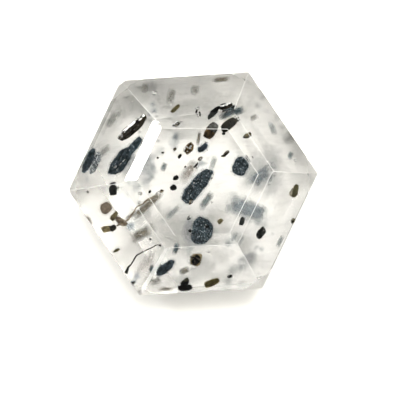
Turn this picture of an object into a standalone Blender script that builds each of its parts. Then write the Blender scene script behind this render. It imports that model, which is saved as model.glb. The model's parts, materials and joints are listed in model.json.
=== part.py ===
"""Quartz with diopside: a hexagonal step-cut stone of clear quartz with dark crystals sealed in it.

The quartz is parted in two along a surface that runs through the middle of every crystal, so each
crystal lies in a pocket that both halves share. Numbers are millimetres and degrees; the meshes are
in metres. +Z is the normal of the table, the origin is the centre of the flat base, and the corners
of the outline lie on +X and -X.
"""

import math
import random
from dataclasses import dataclass
from enum import Enum

import bmesh
import bpy
from mathutils import Matrix, Vector
from mathutils.geometry import delaunay_2d_cdt

MM = 0.001

# The cut.
PAVILION_DEPTH = 2.2
GIRDLE_HEIGHT = 0.35
CROWN_HEIGHT = 1.9
STEP_TILT = 20.0

# The quartz and what is sealed in it.
REFRACTIVE_INDEX = 1.544
POCKET_GAP = 0.05
PARTING_GAP = 0.05
PARTING_LEVEL = 2.3
RIM_REACHES = (5.75, 9.0)
LEAST_COVER = 0.12
# Where along its length each ring of a crystal lies, as a share of the length.
RING_STATIONS = (-0.5, -0.26, 0.24, 0.5)
# The crystals were set out on a grid that lies this far clockwise of the stone's own axes.
GRID_TURN = -3.8


@dataclass(frozen=True)
class Side:
    """One of the six sides, as distances of its facet edges from the axis, and how far its step
    is turned from the rest of it."""

    azimuth: float
    base: float
    girdle: float
    step: float
    table: float
    turn: float = 0.0


SIDES = (
    Side(90, 4.45, 5.17, 3.24, 2.58, -4.6),
    Side(150.8, 4.50, 5.26, 2.97, 2.44),
    Side(210.3, 3.00, 5.14, 2.80, 2.08),
    Side(269.4, 4.30, 5.21, 2.99, 2.43),
    Side(330.4, 4.48, 5.19, 3.16, 2.60),
    Side(30.4, 4.48, 5.23, 3.50, 2.80),
)


@dataclass(frozen=True)
class Chip:
    """A small flat break at a corner: the direction it faces, and how far it is from the axis."""

    azimuth: float
    tilt: float
    reach: float
    level: float


CHIPS = (
    Chip(122.5, 76, 5.90, 2.55),
    Chip(121.0, 98, 5.92, 2.30),
    Chip(178.2, 76, 5.90, 2.60),
    Chip(183.0, 98, 5.88, 2.25),
    Chip(-60.0, 72, 5.94, 2.60),
    Chip(-119.0, 80, 5.90, 2.50),
)


class Habit(Enum):
    """How a crystal has grown: the sizes of its rings from tail to head, and how ragged it is."""

    BLADE = ((0.52, 1.0, 0.96, 0.48), 6, 0.08)
    WEDGE = ((0.60, 1.0, 0.74, 0.40), 6, 0.10)
    SPLINTER = ((0.22, 0.95, 0.85, 0.2), 5, 0.12)
    PRISM = ((0.74, 1.0, 0.95, 0.66), 6, 0.05)
    PLATE = ((0.50, 1.0, 0.98, 0.52), 6, 0.07)
    GRAIN = ((0.5, 0.95, 1.0, 0.55), 5, 0.18)


class Tone(Enum):
    """What colour a crystal is, and how far light comes through it."""

    SLATE = ((0.045, 0.06, 0.075), 0.0)
    BLACK = ((0.012, 0.012, 0.012), 0.0)
    OLIVE = ((0.09, 0.075, 0.025), 0.2)
    BROWN = ((0.16, 0.11, 0.07), 0.2)
    PALE = ((0.30, 0.33, 0.36), 0.3)


@dataclass(frozen=True)
class Lobe:
    """A second crystal grown into another: its middle ahead of and beside the other's middle."""

    ahead: float
    beside: float
    length: float
    width: float
    turn: float


@dataclass(frozen=True)
class Crystal:
    """One crystal by where it is seen from straight above: grid place, depth under the surface,
    length, width, heading of its long axis, dip of its head, and thickness as a share of width."""

    name: str
    east: float
    north: float
    depth: float
    length: float
    width: float
    heading: float
    dip: float
    flatness: float
    habit: Habit
    tone: Tone
    lobes: tuple[Lobe, ...] = ()


BLADE, WEDGE, SPLINTER = Habit.BLADE, Habit.WEDGE, Habit.SPLINTER
PRISM, PLATE, GRAIN = Habit.PRISM, Habit.PLATE, Habit.GRAIN
SLATE, BLACK, OLIVE, BROWN, PALE = Tone.SLATE, Tone.BLACK, Tone.OLIVE, Tone.BROWN, Tone.PALE

CRYSTALS = (
    # Large blades and plates, slate grey.
    Crystal("diopside_blade_centre", 0.20, -0.12, 0.75, 1.95, 0.76, 50, 8, 0.55, BLADE, SLATE),
    Crystal(
        "diopside_blade_upper_left", -3.44, 1.04, 0.80, 1.45, 0.84, 50, -6, 0.5, PLATE, SLATE,
        (Lobe(0.95, -0.08, 1.15, 0.46, -4),),
    ),
    Crystal("diopside_blade_silver", -2.86, 2.65, 0.54, 1.72, 0.64, 39, 4, 0.45, BLADE, SLATE),
    Crystal("diopside_blade_far_left", -5.01, 1.12, 0.57, 1.25, 0.46, 66, 0, 0.8, BLADE, SLATE),
    Crystal("diopside_flake_far_left", -4.70, 1.00, 0.95, 1.10, 0.40, 72, 5, 0.5, GRAIN, SLATE),
    Crystal("diopside_round_low", 0.44, -2.21, 0.62, 1.20, 1.10, 80, 6, 0.42, PLATE, SLATE),
    Crystal("diopside_plate_right", 2.25, 0.79, 0.42, 0.84, 0.76, 62, 8, 0.5, PLATE, SLATE),
    Crystal("diopside_blade_top", 1.74, 3.52, 1.02, 1.12, 0.42, 24, -5, 0.5, BLADE, SLATE),
    Crystal("diopside_blade_low_left", -1.32, -4.02, 0.60, 1.12, 0.50, 47, 4, 0.6, BLADE, SLATE),
    # Stout prisms, black, olive and brown.
    Crystal("diopside_prism_golden", 0.15, -3.62, 0.44, 0.66, 0.60, 70, 5, 0.6, PRISM, BLACK),
    Crystal("diopside_prism_north", 0.87, 2.48, 0.40, 0.78, 0.54, 55, 8, 0.65, PRISM, BLACK),
    Crystal("diopside_prism_north_east", 1.70, 2.82, 0.42, 0.82, 0.44, 40, -6, 0.8, PRISM, OLIVE),
    Crystal("diopside_prism_white_spot", -0.18, 1.66, 0.40, 0.54, 0.40, 52, 5, 0.7, PRISM, BROWN),
    Crystal("diopside_prism_olive_north", -0.82, 3.56, 0.38, 0.56, 0.22, 50, 3, 0.9, PRISM, OLIVE),
    Crystal("diopside_prism_black_top", 1.00, 3.36, 0.40, 0.82, 0.27, 47, 0, 0.8, BLADE, BLACK),
    Crystal("diopside_blade_silver_top", 1.57, 3.67, 0.63, 0.68, 0.34, 22, 0, 0.5, PRISM, SLATE),
    Crystal("diopside_prism_hexagon_west", -3.80, -0.31, 0.38, 0.52, 0.46, 80, 6, 0.8, PLATE, BLACK),
    Crystal(
        "diopside_prism_south_west", -4.13, -2.17, 0.42, 0.52, 0.34, 15, 4, 0.8, PRISM, OLIVE,
        (Lobe(0.33, -0.02, 0.36, 0.34, 20),),
    ),
    Crystal("diopside_prism_olive_west", -3.76, -1.56, 0.50, 0.52, 0.28, 50, 5, 0.8, PRISM, OLIVE),
    Crystal("diopside_prism_brown_west", -3.44, -1.82, 0.85, 0.62, 0.40, -32, 5, 0.7, GRAIN, BROWN),
    Crystal("diopside_prism_olive_south", 0.91, -4.76, 0.40, 0.74, 0.40, 27, -4, 0.8, PRISM, OLIVE),
    Crystal("diopside_prism_olive_east", 4.88, -0.34, 0.45, 0.62, 0.54, 65, 6, 0.7, WEDGE, OLIVE),
    Crystal("diopside_prism_south_east", 3.25, -2.36, 0.38, 0.54, 0.44, 50, 6, 0.8, PRISM, BLACK),
    Crystal(
        "diopside_prism_lobed", -0.40, -4.97, 0.48, 0.68, 0.38, 5, 4, 0.7, GRAIN, BLACK,
        (Lobe(0.03, 0.30, 0.50, 0.34, 40),),
    ),
    Crystal("diopside_oval_north", 0.49, 1.69, 0.36, 0.54, 0.31, 40, 4, 0.8, PLATE, SLATE),
    Crystal("diopside_oval_east", 4.66, 1.36, 0.50, 0.42, 0.30, 60, 5, 0.8, PLATE, SLATE),
    Crystal("diopside_oval_south_east", 2.34, -1.79, 0.40, 0.40, 0.26, 75, 4, 0.8, PRISM, SLATE),
    Crystal("diopside_grain_slate_west", -1.37, 0.80, 0.65, 0.42, 0.30, 70, 5, 0.8, PLATE, SLATE),
    Crystal("diopside_grain_olive_table", 1.30, -1.79, 0.34, 0.26, 0.24, 40, 5, 0.9, PRISM, OLIVE),
    Crystal("diopside_grain_black_table", -0.92, -0.19, 0.34, 0.30, 0.28, 20, 5, 0.9, GRAIN, BLACK),
    Crystal("diopside_grain_slate_south", -0.80, -3.12, 0.72, 0.50, 0.30, 70, 5, 0.8, PRISM, SLATE),
    Crystal("diopside_grain_south_west", -1.99, -4.07, 0.45, 0.40, 0.25, 70, 5, 0.8, PRISM, SLATE),
    # Deeper ones, seen soft and pale.
    Crystal("diopside_string_brown", -2.16, -1.02, 1.15, 1.68, 0.42, 42, 5, 0.8, SPLINTER, BROWN),
    Crystal("diopside_string_tail", -2.96, -1.52, 1.45, 0.80, 0.22, 32, 5, 0.9, SPLINTER, BROWN),
    Crystal("diopside_deep_brown_west", -4.18, -1.17, 1.35, 0.62, 0.58, 30, 5, 0.7, PLATE, BROWN),
    Crystal("diopside_deep_cloud_east", 2.66, -1.30, 1.75, 1.65, 1.10, -20, 6, 0.5, PLATE, PALE),
    Crystal("diopside_deep_corner", 3.32, 0.30, 1.55, 1.10, 0.50, 35, 5, 0.6, BLADE, PALE),
    Crystal("diopside_deep_centre", -0.20, 0.60, 1.90, 1.15, 0.66, 50, 5, 0.6, PLATE, BROWN),
    Crystal("diopside_deep_south_table", 0.64, -0.80, 1.60, 0.98, 0.40, 54, 5, 0.7, BLADE, PALE),
    Crystal("diopside_deep_south_west", -0.94, -1.36, 1.70, 0.98, 0.32, 40, 5, 0.8, BLADE, PALE),
    Crystal("diopside_deep_rod_north", 0.28, 2.15, 1.10, 0.66, 0.19, 80, 5, 0.9, BLADE, BROWN),
    Crystal("diopside_deep_rod_table", 0.97, 0.98, 1.60, 0.70, 0.30, 70, 5, 0.8, BLADE, PALE),
    Crystal("diopside_deep_corner_north_west", -3.76, 3.22, 1.20, 1.20, 0.56, 45, 5, 0.6, BLADE, PALE),
    Crystal("diopside_deep_west", -4.25, 1.60, 1.45, 0.74, 0.42, 38, 5, 0.7, GRAIN, PALE),
    Crystal("diopside_deep_rod_top", -1.05, 4.16, 1.15, 1.04, 0.46, 82, 5, 0.7, BLADE, PALE),
    Crystal("diopside_deep_top", 0.10, 4.50, 1.05, 0.56, 0.42, 80, 5, 0.8, GRAIN, PALE),
    Crystal("diopside_deep_top_left", -2.33, 4.60, 0.90, 0.56, 0.32, 82, 5, 0.8, GRAIN, PALE),
    Crystal("diopside_edge_top", 1.36, 5.02, 0.55, 0.82, 0.32, 8, 0, 0.8, GRAIN, BROWN),
    Crystal("diopside_deep_pale_south_west", -2.52, -2.40, 1.75, 1.28, 0.60, 27, 5, 0.6, GRAIN, PALE),
    Crystal("diopside_deep_south", -0.42, -4.17, 1.25, 0.52, 0.42, 30, 5, 0.8, GRAIN, BROWN),
    Crystal("diopside_edge_south", -1.32, -5.05, 0.55, 0.72, 0.26, -2, 0, 0.8, GRAIN, BROWN),
    Crystal("diopside_deep_low_left", -1.80, -4.66, 0.92, 0.70, 0.50, 30, 5, 0.8, GRAIN, PALE),
    Crystal("diopside_deep_blade_east", 4.20, -2.76, 0.72, 0.66, 0.32, 66, 0, 0.7, BLADE, PALE),
    Crystal("diopside_teardrop_east", 3.80, 2.66, 0.70, 0.66, 0.42, 104, 5, 0.8, WEDGE, PALE),
    Crystal("diopside_deep_north_east", 2.92, 3.17, 0.95, 0.46, 0.33, 30, 5, 0.8, GRAIN, PALE),
)


@dataclass(frozen=True)
class Facet:
    """A plane of the cut, by a point on it and the way it faces."""

    point: Vector
    normal: Vector

    def height_at(self, x: float, y: float) -> float:
        """The level of the plane over a point, for a plane that faces up."""
        away = (x - self.point.x) * self.normal.x + (y - self.point.y) * self.normal.y
        return self.point.z - away / self.normal.z


def facing(azimuth: float, tilt: float, reach: float, level: float) -> Facet:
    """A facet through a point at this reach and level. Tilt 0 faces up, 90 out and 180 down."""
    turn, lean = math.radians(azimuth), math.radians(tilt)
    out = Vector((math.cos(turn), math.sin(turn), 0.0))
    normal = out * math.sin(lean) + Vector((0.0, 0.0, math.cos(lean)))
    return Facet(out * reach + Vector((0.0, 0.0, level)), normal)


class Cut:
    """All the planes of the stone, and how a line of sight bends on its way in."""

    def __init__(self) -> None:
        girdle_top = PAVILION_DEPTH + GIRDLE_HEIGHT
        self.top = girdle_top + CROWN_HEIGHT
        self.crown = [Facet(Vector((0.0, 0.0, self.top)), Vector((0.0, 0.0, 1.0)))]
        self.under = [Facet(Vector(), Vector((0.0, 0.0, -1.0)))]
        for side in SIDES:
            step_level = self.top - (side.step - side.table) * math.tan(math.radians(STEP_TILT))
            main_tilt = math.degrees(
                math.atan2(step_level - girdle_top, side.girdle - side.step)
            )
            under_tilt = 180 - math.degrees(
                math.atan2(PAVILION_DEPTH, side.girdle - side.base)
            )
            self.crown.append(facing(side.azimuth + side.turn, STEP_TILT, side.table, self.top))
            self.crown.append(facing(side.azimuth, main_tilt, side.girdle, girdle_top))
            self.under.append(facing(side.azimuth, 90, side.girdle, girdle_top))
            self.under.append(facing(side.azimuth, under_tilt, side.girdle, PAVILION_DEPTH))
        self.chips = [facing(c.azimuth, c.tilt, c.reach, c.level) for c in CHIPS]

    def place_seen(self, x: float, y: float, depth: float) -> Vector:
        """The point at this depth along a sight line that comes straight down over (x, y)."""
        over = min(self.crown, key=lambda facet: facet.height_at(x, y))
        ratio = 1.0 / REFRACTIVE_INDEX
        facing_eye = over.normal.z
        bent = math.sqrt(1.0 - ratio**2 * (1.0 - facing_eye**2))
        ray = Vector((0.0, 0.0, -ratio)) + over.normal * (ratio * facing_eye - bent)
        start = Vector((x, y, over.height_at(x, y)))
        return start + ray * (depth / -ray.z)

    def depth_inside(self, point: Vector) -> float:
        """How far inside the nearest plane a point is."""
        planes = self.crown + self.under + self.chips
        return min((plane.point - point).dot(plane.normal) for plane in planes)


def new_mesh(name: str, body: bmesh.types.BMesh) -> bpy.types.Mesh:
    """A mesh in metres from a body in millimetres, facing out."""
    bmesh.ops.scale(body, vec=(MM, MM, MM), verts=body.verts)
    bmesh.ops.recalc_face_normals(body, faces=body.faces)
    mesh = bpy.data.meshes.new(name)
    body.to_mesh(mesh)
    body.free()
    return mesh


def new_collection(name: str, hidden: bool) -> bpy.types.Collection:
    """A collection in the scene, for the pieces or for what only shapes them."""
    found = bpy.data.collections.new(name)
    bpy.context.scene.collection.children.link(found)
    found.hide_render = hidden
    return found


def new_material(name: str, colour: tuple, clear: float, roughness: float) -> bpy.types.Material:
    """A plain Principled material."""
    material = bpy.data.materials.new(name)
    material.use_nodes = True
    inputs = material.node_tree.nodes["Principled BSDF"].inputs
    inputs["Base Color"].default_value = (*colour, 1.0)
    inputs["Transmission Weight"].default_value = clear
    inputs["IOR"].default_value = REFRACTIVE_INDEX
    inputs["Roughness"].default_value = roughness
    return material


def add_object(
    name: str, mesh: bpy.types.Mesh, home: bpy.types.Collection, place: Matrix | None = None
) -> bpy.types.Object:
    """An object in a collection, placed by its location and rotation."""
    made = bpy.data.objects.new(name, mesh)
    home.objects.link(made)
    if place:
        made.location = place.to_translation()
        made.rotation_euler = place.to_euler()
    if home.hide_render:
        made.hide_render = True
        made.display_type = "WIRE"
    return made


def cut_stone(cut: Cut) -> bmesh.types.BMesh:
    """The whole stone: a block ground flat on every plane in turn."""
    body = bmesh.new()
    bmesh.ops.create_cube(body, size=20)
    for plane in cut.crown + cut.under + cut.chips:
        geometry = body.verts[:] + body.edges[:] + body.faces[:]
        result = bmesh.ops.bisect_plane(
            body, geom=geometry, plane_co=plane.point, plane_no=plane.normal, clear_outer=True
        )
        rim = [item for item in result["geom_cut"] if isinstance(item, bmesh.types.BMEdge)]
        if rim:
            bmesh.ops.contextual_create(body, geom=rim)
    bmesh.ops.remove_doubles(body, verts=body.verts, dist=1e-4)
    return body


def crystal_body(crystal: Crystal, length: float, width: float) -> bmesh.types.BMesh:
    """A convex crystal along X: rings of corners from tail to head, ragged by a seeded amount."""
    rings, corners, ragged = crystal.habit.value
    dice = random.Random(f"{crystal.name} {length}")
    body = bmesh.new()
    for size, station in zip(rings, RING_STATIONS):
        slant = dice.uniform(-0.12, 0.12) * width
        for corner in range(corners):
            turn = 2 * math.pi * (corner + 0.5) / corners
            reach = 0.5 * width * size * (1 + dice.uniform(-ragged, ragged))
            along = station * length + slant * math.cos(turn)
            up = reach * math.sin(turn) * crystal.flatness
            body.verts.new((along, reach * math.cos(turn), up))
    hull = bmesh.ops.convex_hull(body, input=body.verts, use_existing_faces=False)
    spare = [item for item in hull["geom_interior"] if isinstance(item, bmesh.types.BMVert)]
    bmesh.ops.delete(body, geom=spare, context="VERTS")
    bmesh.ops.recalc_face_normals(body, faces=body.faces)
    return body


def grown_by(body: bmesh.types.BMesh, gap: float) -> bmesh.types.BMesh:
    """A copy of a convex body, larger by the gap all round."""
    larger = body.copy()
    larger.normal_update()
    shifts = [vert.normal * (gap * vert.calc_shell_factor()) for vert in larger.verts]
    for vert, shift in zip(larger.verts, shifts):
        vert.co += shift
    return larger


def parting_block(middles: list[Vector], lift: float, far_level: float) -> bmesh.types.BMesh:
    """A solid from the parting surface, raised by lift, to a far level above or below the stone.

    The surface is level at the rim and runs through the middle of every crystal on the way.
    """
    corners = [Matrix.Rotation(math.radians(30 * step), 3, "Z") @ Vector((1, 0, 0))
               for step in range(12)]
    level = Vector((0, 0, PARTING_LEVEL))
    points = middles + [level + corner * reach for reach in RIM_REACHES for corner in corners]
    faces = delaunay_2d_cdt([point.to_2d() for point in points], [], [], 0, 1e-5)[2]
    body = bmesh.new()
    verts = [body.verts.new((point.x, point.y, point.z + lift)) for point in points]
    for face in faces:
        body.faces.new([verts[index] for index in face])
    raised = bmesh.ops.extrude_face_region(body, geom=body.faces[:])
    for item in raised["geom"]:
        if isinstance(item, bmesh.types.BMVert):
            item.co.z = far_level
    return body


def combine(
    node: bpy.types.Object, operation: str, tools: bpy.types.Object | bpy.types.Collection
) -> None:
    """Joins an object to a node, or takes an object or a whole collection out of it."""
    modifier = node.modifiers.new(operation.lower(), "BOOLEAN")
    modifier.operation = operation
    modifier.solver = "EXACT"
    if isinstance(tools, bpy.types.Collection):
        modifier.operand_type = "COLLECTION"
        modifier.collection = tools
    else:
        modifier.object = tools


def place_crystal(cut: Cut, crystal: Crystal) -> Matrix:
    """Where a crystal lies and how it is turned, in millimetres."""
    seen = Matrix.Rotation(math.radians(GRID_TURN), 3, "Z") @ Vector(
        (crystal.east, crystal.north, 0)
    )
    spot = cut.place_seen(seen.x, seen.y, crystal.depth)
    spin = Matrix.Rotation(math.radians(crystal.heading + GRID_TURN), 4, "Z")
    dip = Matrix.Rotation(math.radians(-crystal.dip), 4, "Y")
    return Matrix.Translation(spot) @ spin @ dip


def add_crystal(
    cut: Cut,
    crystal: Crystal,
    pieces: bpy.types.Collection,
    lobes: bpy.types.Collection,
    pockets: bpy.types.Collection,
) -> Vector:
    """A crystal, the lobes grown into it, and the cutters of their pocket. Returns its middle."""
    place = place_crystal(cut, crystal)
    middle = place.to_translation()
    bodies = [(crystal.name, place, crystal.length, crystal.width)]
    for number, lobe in enumerate(crystal.lobes):
        beside = Matrix.Translation((lobe.ahead, lobe.beside, 0)) @ Matrix.Rotation(
            math.radians(lobe.turn), 4, "Z"
        )
        bodies.append((f"{crystal.name}_{number}", place @ beside, lobe.length, lobe.width))
    node = None
    for name, where, length, width in bodies:
        body = crystal_body(crystal, length, width)
        cover = min(cut.depth_inside(where @ vert.co) for vert in body.verts)
        if cover < LEAST_COVER:
            print(f"{name} lies only {cover:.2f} mm inside")
        at = where.copy()
        at.translation *= MM
        add_object(f"pocket_{name}", new_mesh(name, grown_by(body, POCKET_GAP)), pockets, at)
        made = add_object(name, new_mesh(name, body), lobes if node else pieces, at)
        if node:
            combine(node, "UNION", made)
        else:
            node = made
    colour, clear = crystal.tone.value
    node.data.materials.append(new_material(crystal.name, colour, clear, 0.3))
    return middle


def build() -> None:
    """The two halves of the quartz and every crystal in it."""
    for item in list(bpy.data.objects):
        bpy.data.objects.remove(item)
    cut = Cut()
    pieces = new_collection("quartz_with_diopside", hidden=False)
    lobes = new_collection("lobes", hidden=True)
    pockets = new_collection("pockets", hidden=True)
    partings = new_collection("partings", hidden=True)
    middles = [add_crystal(cut, crystal, pieces, lobes, pockets) for crystal in CRYSTALS]
    for name, lift, far_level in (
        ("quartz_pavilion", -PARTING_GAP / 2, cut.top + 2),
        ("quartz_crown", PARTING_GAP / 2, -2),
    ):
        block = new_mesh(f"beyond_{name}", parting_block(middles, lift, far_level))
        half = add_object(name, new_mesh(name, cut_stone(cut)), pieces)
        half.data.materials.append(new_material(name, (0.96, 0.97, 0.97), 1.0, 0.02))
        combine(half, "DIFFERENCE", add_object(block.name, block, partings))
        combine(half, "DIFFERENCE", pockets)


build()
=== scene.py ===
"""The looks of a hexagonal step-cut stone of clear quartz with dark crystals of diopside in it.

One clear piece stands for both halves of the quartz. Each diopside crystal is made again round
its solid, with a mineral core in absorbing skins or as a soft haze. Flecks, white flecks of
painted highlight, bubbles, clouds that are partly smoky haze and partly painted shade, a brown
strand and a healed fracture lie between them. Patches of smoky haze and painted shade are drawn
on the quartz's underside. Shapes are worked out in millimetres and turned into metres as they
are finished.
"""

import json
import logging
import math
import random
from dataclasses import dataclass, field, replace
from enum import Enum
from typing import ClassVar, Iterable

import bmesh
import bpy
import numpy as np
from bmesh.types import BMEdge, BMesh, BMVert
from bpy.types import Material, Node, NodeSocket, NodeTree, Object
from mathutils import Matrix, Vector, noise
from mathutils.bvhtree import BVHTree

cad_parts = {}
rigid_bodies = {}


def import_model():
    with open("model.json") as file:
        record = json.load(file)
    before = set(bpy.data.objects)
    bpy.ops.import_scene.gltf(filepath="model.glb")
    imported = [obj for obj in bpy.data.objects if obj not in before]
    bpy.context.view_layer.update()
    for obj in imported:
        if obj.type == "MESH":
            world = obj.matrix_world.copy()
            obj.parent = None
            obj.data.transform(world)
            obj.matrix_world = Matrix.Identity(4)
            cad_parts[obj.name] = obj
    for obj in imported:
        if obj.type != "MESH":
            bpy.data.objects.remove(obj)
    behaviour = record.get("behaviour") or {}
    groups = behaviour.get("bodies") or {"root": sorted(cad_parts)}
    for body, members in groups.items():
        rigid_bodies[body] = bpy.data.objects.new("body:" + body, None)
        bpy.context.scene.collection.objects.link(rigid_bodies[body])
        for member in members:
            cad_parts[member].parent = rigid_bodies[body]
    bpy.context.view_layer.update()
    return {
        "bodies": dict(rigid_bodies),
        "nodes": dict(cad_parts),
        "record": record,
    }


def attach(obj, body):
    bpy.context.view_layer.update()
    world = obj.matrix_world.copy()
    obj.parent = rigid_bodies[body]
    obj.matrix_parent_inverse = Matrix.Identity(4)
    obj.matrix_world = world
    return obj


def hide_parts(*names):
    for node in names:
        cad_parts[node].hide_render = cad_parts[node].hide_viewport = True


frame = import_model()

LOG = logging.getLogger("quartz")
MM = 0.001
# Corners of the solids that are nearer than this, in millimetres, are one corner.
MERGE_WITHIN = 5e-4
# The refractive index of quartz, and those of what lies in it over that of quartz.
QUARTZ_INDEX = 1.544
CORE_INDEX = 1.15
HAZE_INDEX = 1.1
CRISP_SKIN_INDEX = 1.02
# What is sealed in the stone was set out on a grid that lies this far clockwise of its own axes.
GRID_TURN = math.radians(-3.8)
# Vector noise is read from a place that the clock picks unless a seed is set.
NOISE_SEED = 7

Colour = tuple[float, float, float]


# Shaders


class Signal:
    """A value on a socket. Arithmetic on it adds Math nodes to its tree."""

    def __init__(self, tree: NodeTree, socket: NodeSocket) -> None:
        """Wraps an output socket.

        Args:
            tree: The node tree that holds the socket.
            socket: The socket that gives the value.
        """
        self.tree = tree
        self.socket = socket

    def _math(self, operation: str, *terms: "Signal | float") -> "Signal":
        """Adds one Math node.

        Args:
            operation: The node's operation.
            *terms: Its inputs in order.

        Returns:
            The node's result.
        """
        node = self.tree.nodes.new("ShaderNodeMath")
        node.operation = operation
        for socket, term in zip(node.inputs, terms):
            if isinstance(term, Signal):
                self.tree.links.new(term.socket, socket)
            else:
                socket.default_value = term
        return Signal(self.tree, node.outputs[0])

    def __add__(self, other: "Signal | float") -> "Signal":
        """Sum."""
        return self._math("ADD", self, other)

    def __sub__(self, other: "Signal | float") -> "Signal":
        """Difference."""
        return self._math("SUBTRACT", self, other)

    def __rsub__(self, other: float) -> "Signal":
        """Difference from a number."""
        return self._math("SUBTRACT", other, self)

    def __mul__(self, other: "Signal | float") -> "Signal":
        """Product."""
        return self._math("MULTIPLY", self, other)

    def __truediv__(self, other: "Signal | float") -> "Signal":
        """Quotient."""
        return self._math("DIVIDE", self, other)

    def __pow__(self, other: "Signal | float") -> "Signal":
        """Power."""
        return self._math("POWER", self, other)

    def larger(self, other: "Signal | float") -> "Signal":
        """The larger of the two."""
        return self._math("MAXIMUM", self, other)


class Shader:
    """The node tree of one material or of the world, made a node at a time."""

    def __init__(self, tree: NodeTree) -> None:
        """Empties the tree.

        Args:
            tree: The tree to fill.
        """
        self.tree = tree
        self.tree.nodes.clear()

    def node(
        self, kind: str, settings: dict | None = None, inputs: dict | None = None
    ) -> Node:
        """Makes any node: its settings first, then the values or links of its sockets.

        Args:
            kind: The node's type.
            settings: Its properties, and "stops" for the places and colours of a ramp.
            inputs: A value, a Signal or an output socket for each socket named.

        Returns:
            The node.
        """
        made = self.tree.nodes.new(kind)
        for name, value in (settings or {}).items():
            if name == "stops":
                elements = made.color_ramp.elements
                while len(elements) < len(value):
                    elements.new(1.0)
                for element, (place, colour) in zip(elements, value):
                    element.position = place
                    element.color = (*colour, 1.0)
            else:
                setattr(made, name, value)
        for name, value in (inputs or {}).items():
            socket = next(s for s in made.inputs if s.enabled and s.name == name)
            if isinstance(value, Signal):
                value = value.socket
            if isinstance(value, NodeSocket):
                self.tree.links.new(value, socket)
            elif socket.type == "RGBA" and len(value) == 3:
                socket.default_value = (*value, 1.0)
            else:
                socket.default_value = value
        return made

    def signal(self, made: Node, name: str | int = 0) -> Signal:
        """One output of a node as a value for arithmetic."""
        return Signal(self.tree, made.outputs[name])

    def place(self, middle: Vector, turn: Matrix) -> NodeSocket:
        """Object coordinates in millimetres, from a middle and along its own axes.

        Args:
            middle: The origin of the pattern, in millimetres.
            turn: How the pattern is turned.

        Returns:
            The vector's socket.
        """
        seat = self.node("ShaderNodeTexCoord")
        return self.node(
            "ShaderNodeMapping",
            {"vector_type": "TEXTURE"},
            {
                "Vector": seat.outputs["Object"],
                "Location": middle * MM,
                "Rotation": turn.to_euler(),
                "Scale": (MM, MM, MM),
            },
        ).outputs[0]

    def drawn_out(self, vector: NodeSocket, by: tuple[float, float, float]) -> NodeSocket:
        """Draws a pattern out along its axes.

        Args:
            vector: Where the pattern is read.
            by: How many times longer it gets along each axis.

        Returns:
            The vector's socket.
        """
        made = self.node("ShaderNodeVectorMath", {"operation": "DIVIDE"}, {"Vector": vector})
        made.inputs[1].default_value = by
        return made.outputs[0]

    def cloud(
        self, vector: NodeSocket, size: float, detail: float = 3.0, rough: float = 0.5
    ) -> Signal:
        """Noise from 0 to 1.

        Args:
            vector: Where it is read.
            size: How far its lumps are apart, in the vector's own unit.
            detail: How many finer layers it has.
            rough: How strong they are.

        Returns:
            The noise.
        """
        made = self.node(
            "ShaderNodeTexNoise",
            inputs={"Vector": vector, "Scale": 1.0 / size, "Detail": detail, "Roughness": rough},
        )
        return self.signal(made, "Fac")

    def ease(self, value: Signal, low: float, high: float) -> Signal:
        """A smooth rise from 0 to 1.

        Args:
            value: What it depends on.
            low: The value up to which it is 0.
            high: The value from which it is 1.

        Returns:
            The rise.
        """
        made = self.node(
            "ShaderNodeMapRange",
            {"interpolation_type": "SMOOTHSTEP"},
            {"Value": value, "From Min": low, "From Max": high},
        )
        return self.signal(made)

    def blend(
        self, share: Signal, first: Colour | NodeSocket, second: Colour | NodeSocket
    ) -> NodeSocket:
        """A colour between two others.

        Args:
            share: How much of the second.
            first: The colour at 0.
            second: The colour at 1.

        Returns:
            The colour's socket.
        """
        made = self.node(
            "ShaderNodeMix", {"data_type": "RGBA"}, {"Factor": share, "A": first, "B": second}
        )
        return next(s for s in made.outputs if s.enabled)

    def bump(self, height: Signal, depth: float) -> NodeSocket:
        """A normal from a height map.

        Args:
            height: Heights from 0 to 1.
            depth: What a height of 1 stands for, in millimetres.

        Returns:
            The normal's socket.
        """
        return self.node(
            "ShaderNodeBump", inputs={"Height": height, "Strength": 1.0, "Distance": depth * MM}
        ).outputs[0]

    def surface(self, inputs: dict, absorbs: "Absorption | None" = None) -> None:
        """Ends a material in a Principled shader, with an absorbing inside where one is given.

        Args:
            inputs: The shader's values and links.
            absorbs: What the inside takes out of the light.
        """
        shader = self.node("ShaderNodeBsdfPrincipled", inputs=inputs)
        output = self.node("ShaderNodeOutputMaterial", inputs={"Surface": shader.outputs[0]})
        if absorbs:
            inside = self.node(
                "ShaderNodeVolumeAbsorption",
                inputs={"Color": absorbs.colour, "Density": absorbs.density},
            )
            self.tree.links.new(inside.outputs[0], output.inputs["Volume"])


def new_material(name: str) -> tuple[Material, Shader]:
    """Makes an empty material.

    Args:
        name: Its name.

    Returns:
        The material, and the shader that fills it.
    """
    material = bpy.data.materials.new(name)
    material.use_nodes = True
    return material, Shader(material.node_tree)


# Mesh work


@dataclass(frozen=True)
class Lie:
    """How a body lies: its middle, its long, cross and thin axes, and half its size on each."""

    middle: Vector
    turn: Matrix
    half: Vector

    @classmethod
    def of(cls, body: BMesh) -> "Lie":
        """Finds it from where the corners are.

        Args:
            body: A closed body in millimetres.

        Returns:
            The lie, with its long axis towards +X and its thin axis upwards.
        """
        points = np.array([vert.co[:] for vert in body.verts])
        middle = (points.min(axis=0) + points.max(axis=0)) / 2
        _, axes = np.linalg.eigh(np.cov((points - points.mean(axis=0)).T))
        long, thin = Vector(axes[:, 2]), Vector(axes[:, 0])
        long *= 1 if long.x >= 0 else -1
        thin *= 1 if thin.z >= 0 else -1
        across = thin.cross(long)
        turn = Matrix((long, across, thin)).transposed()
        local = (points - middle) @ np.array(turn)
        half = (local.max(axis=0) - local.min(axis=0)) / 2
        return cls(Vector(middle), turn, Vector(half))


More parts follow.
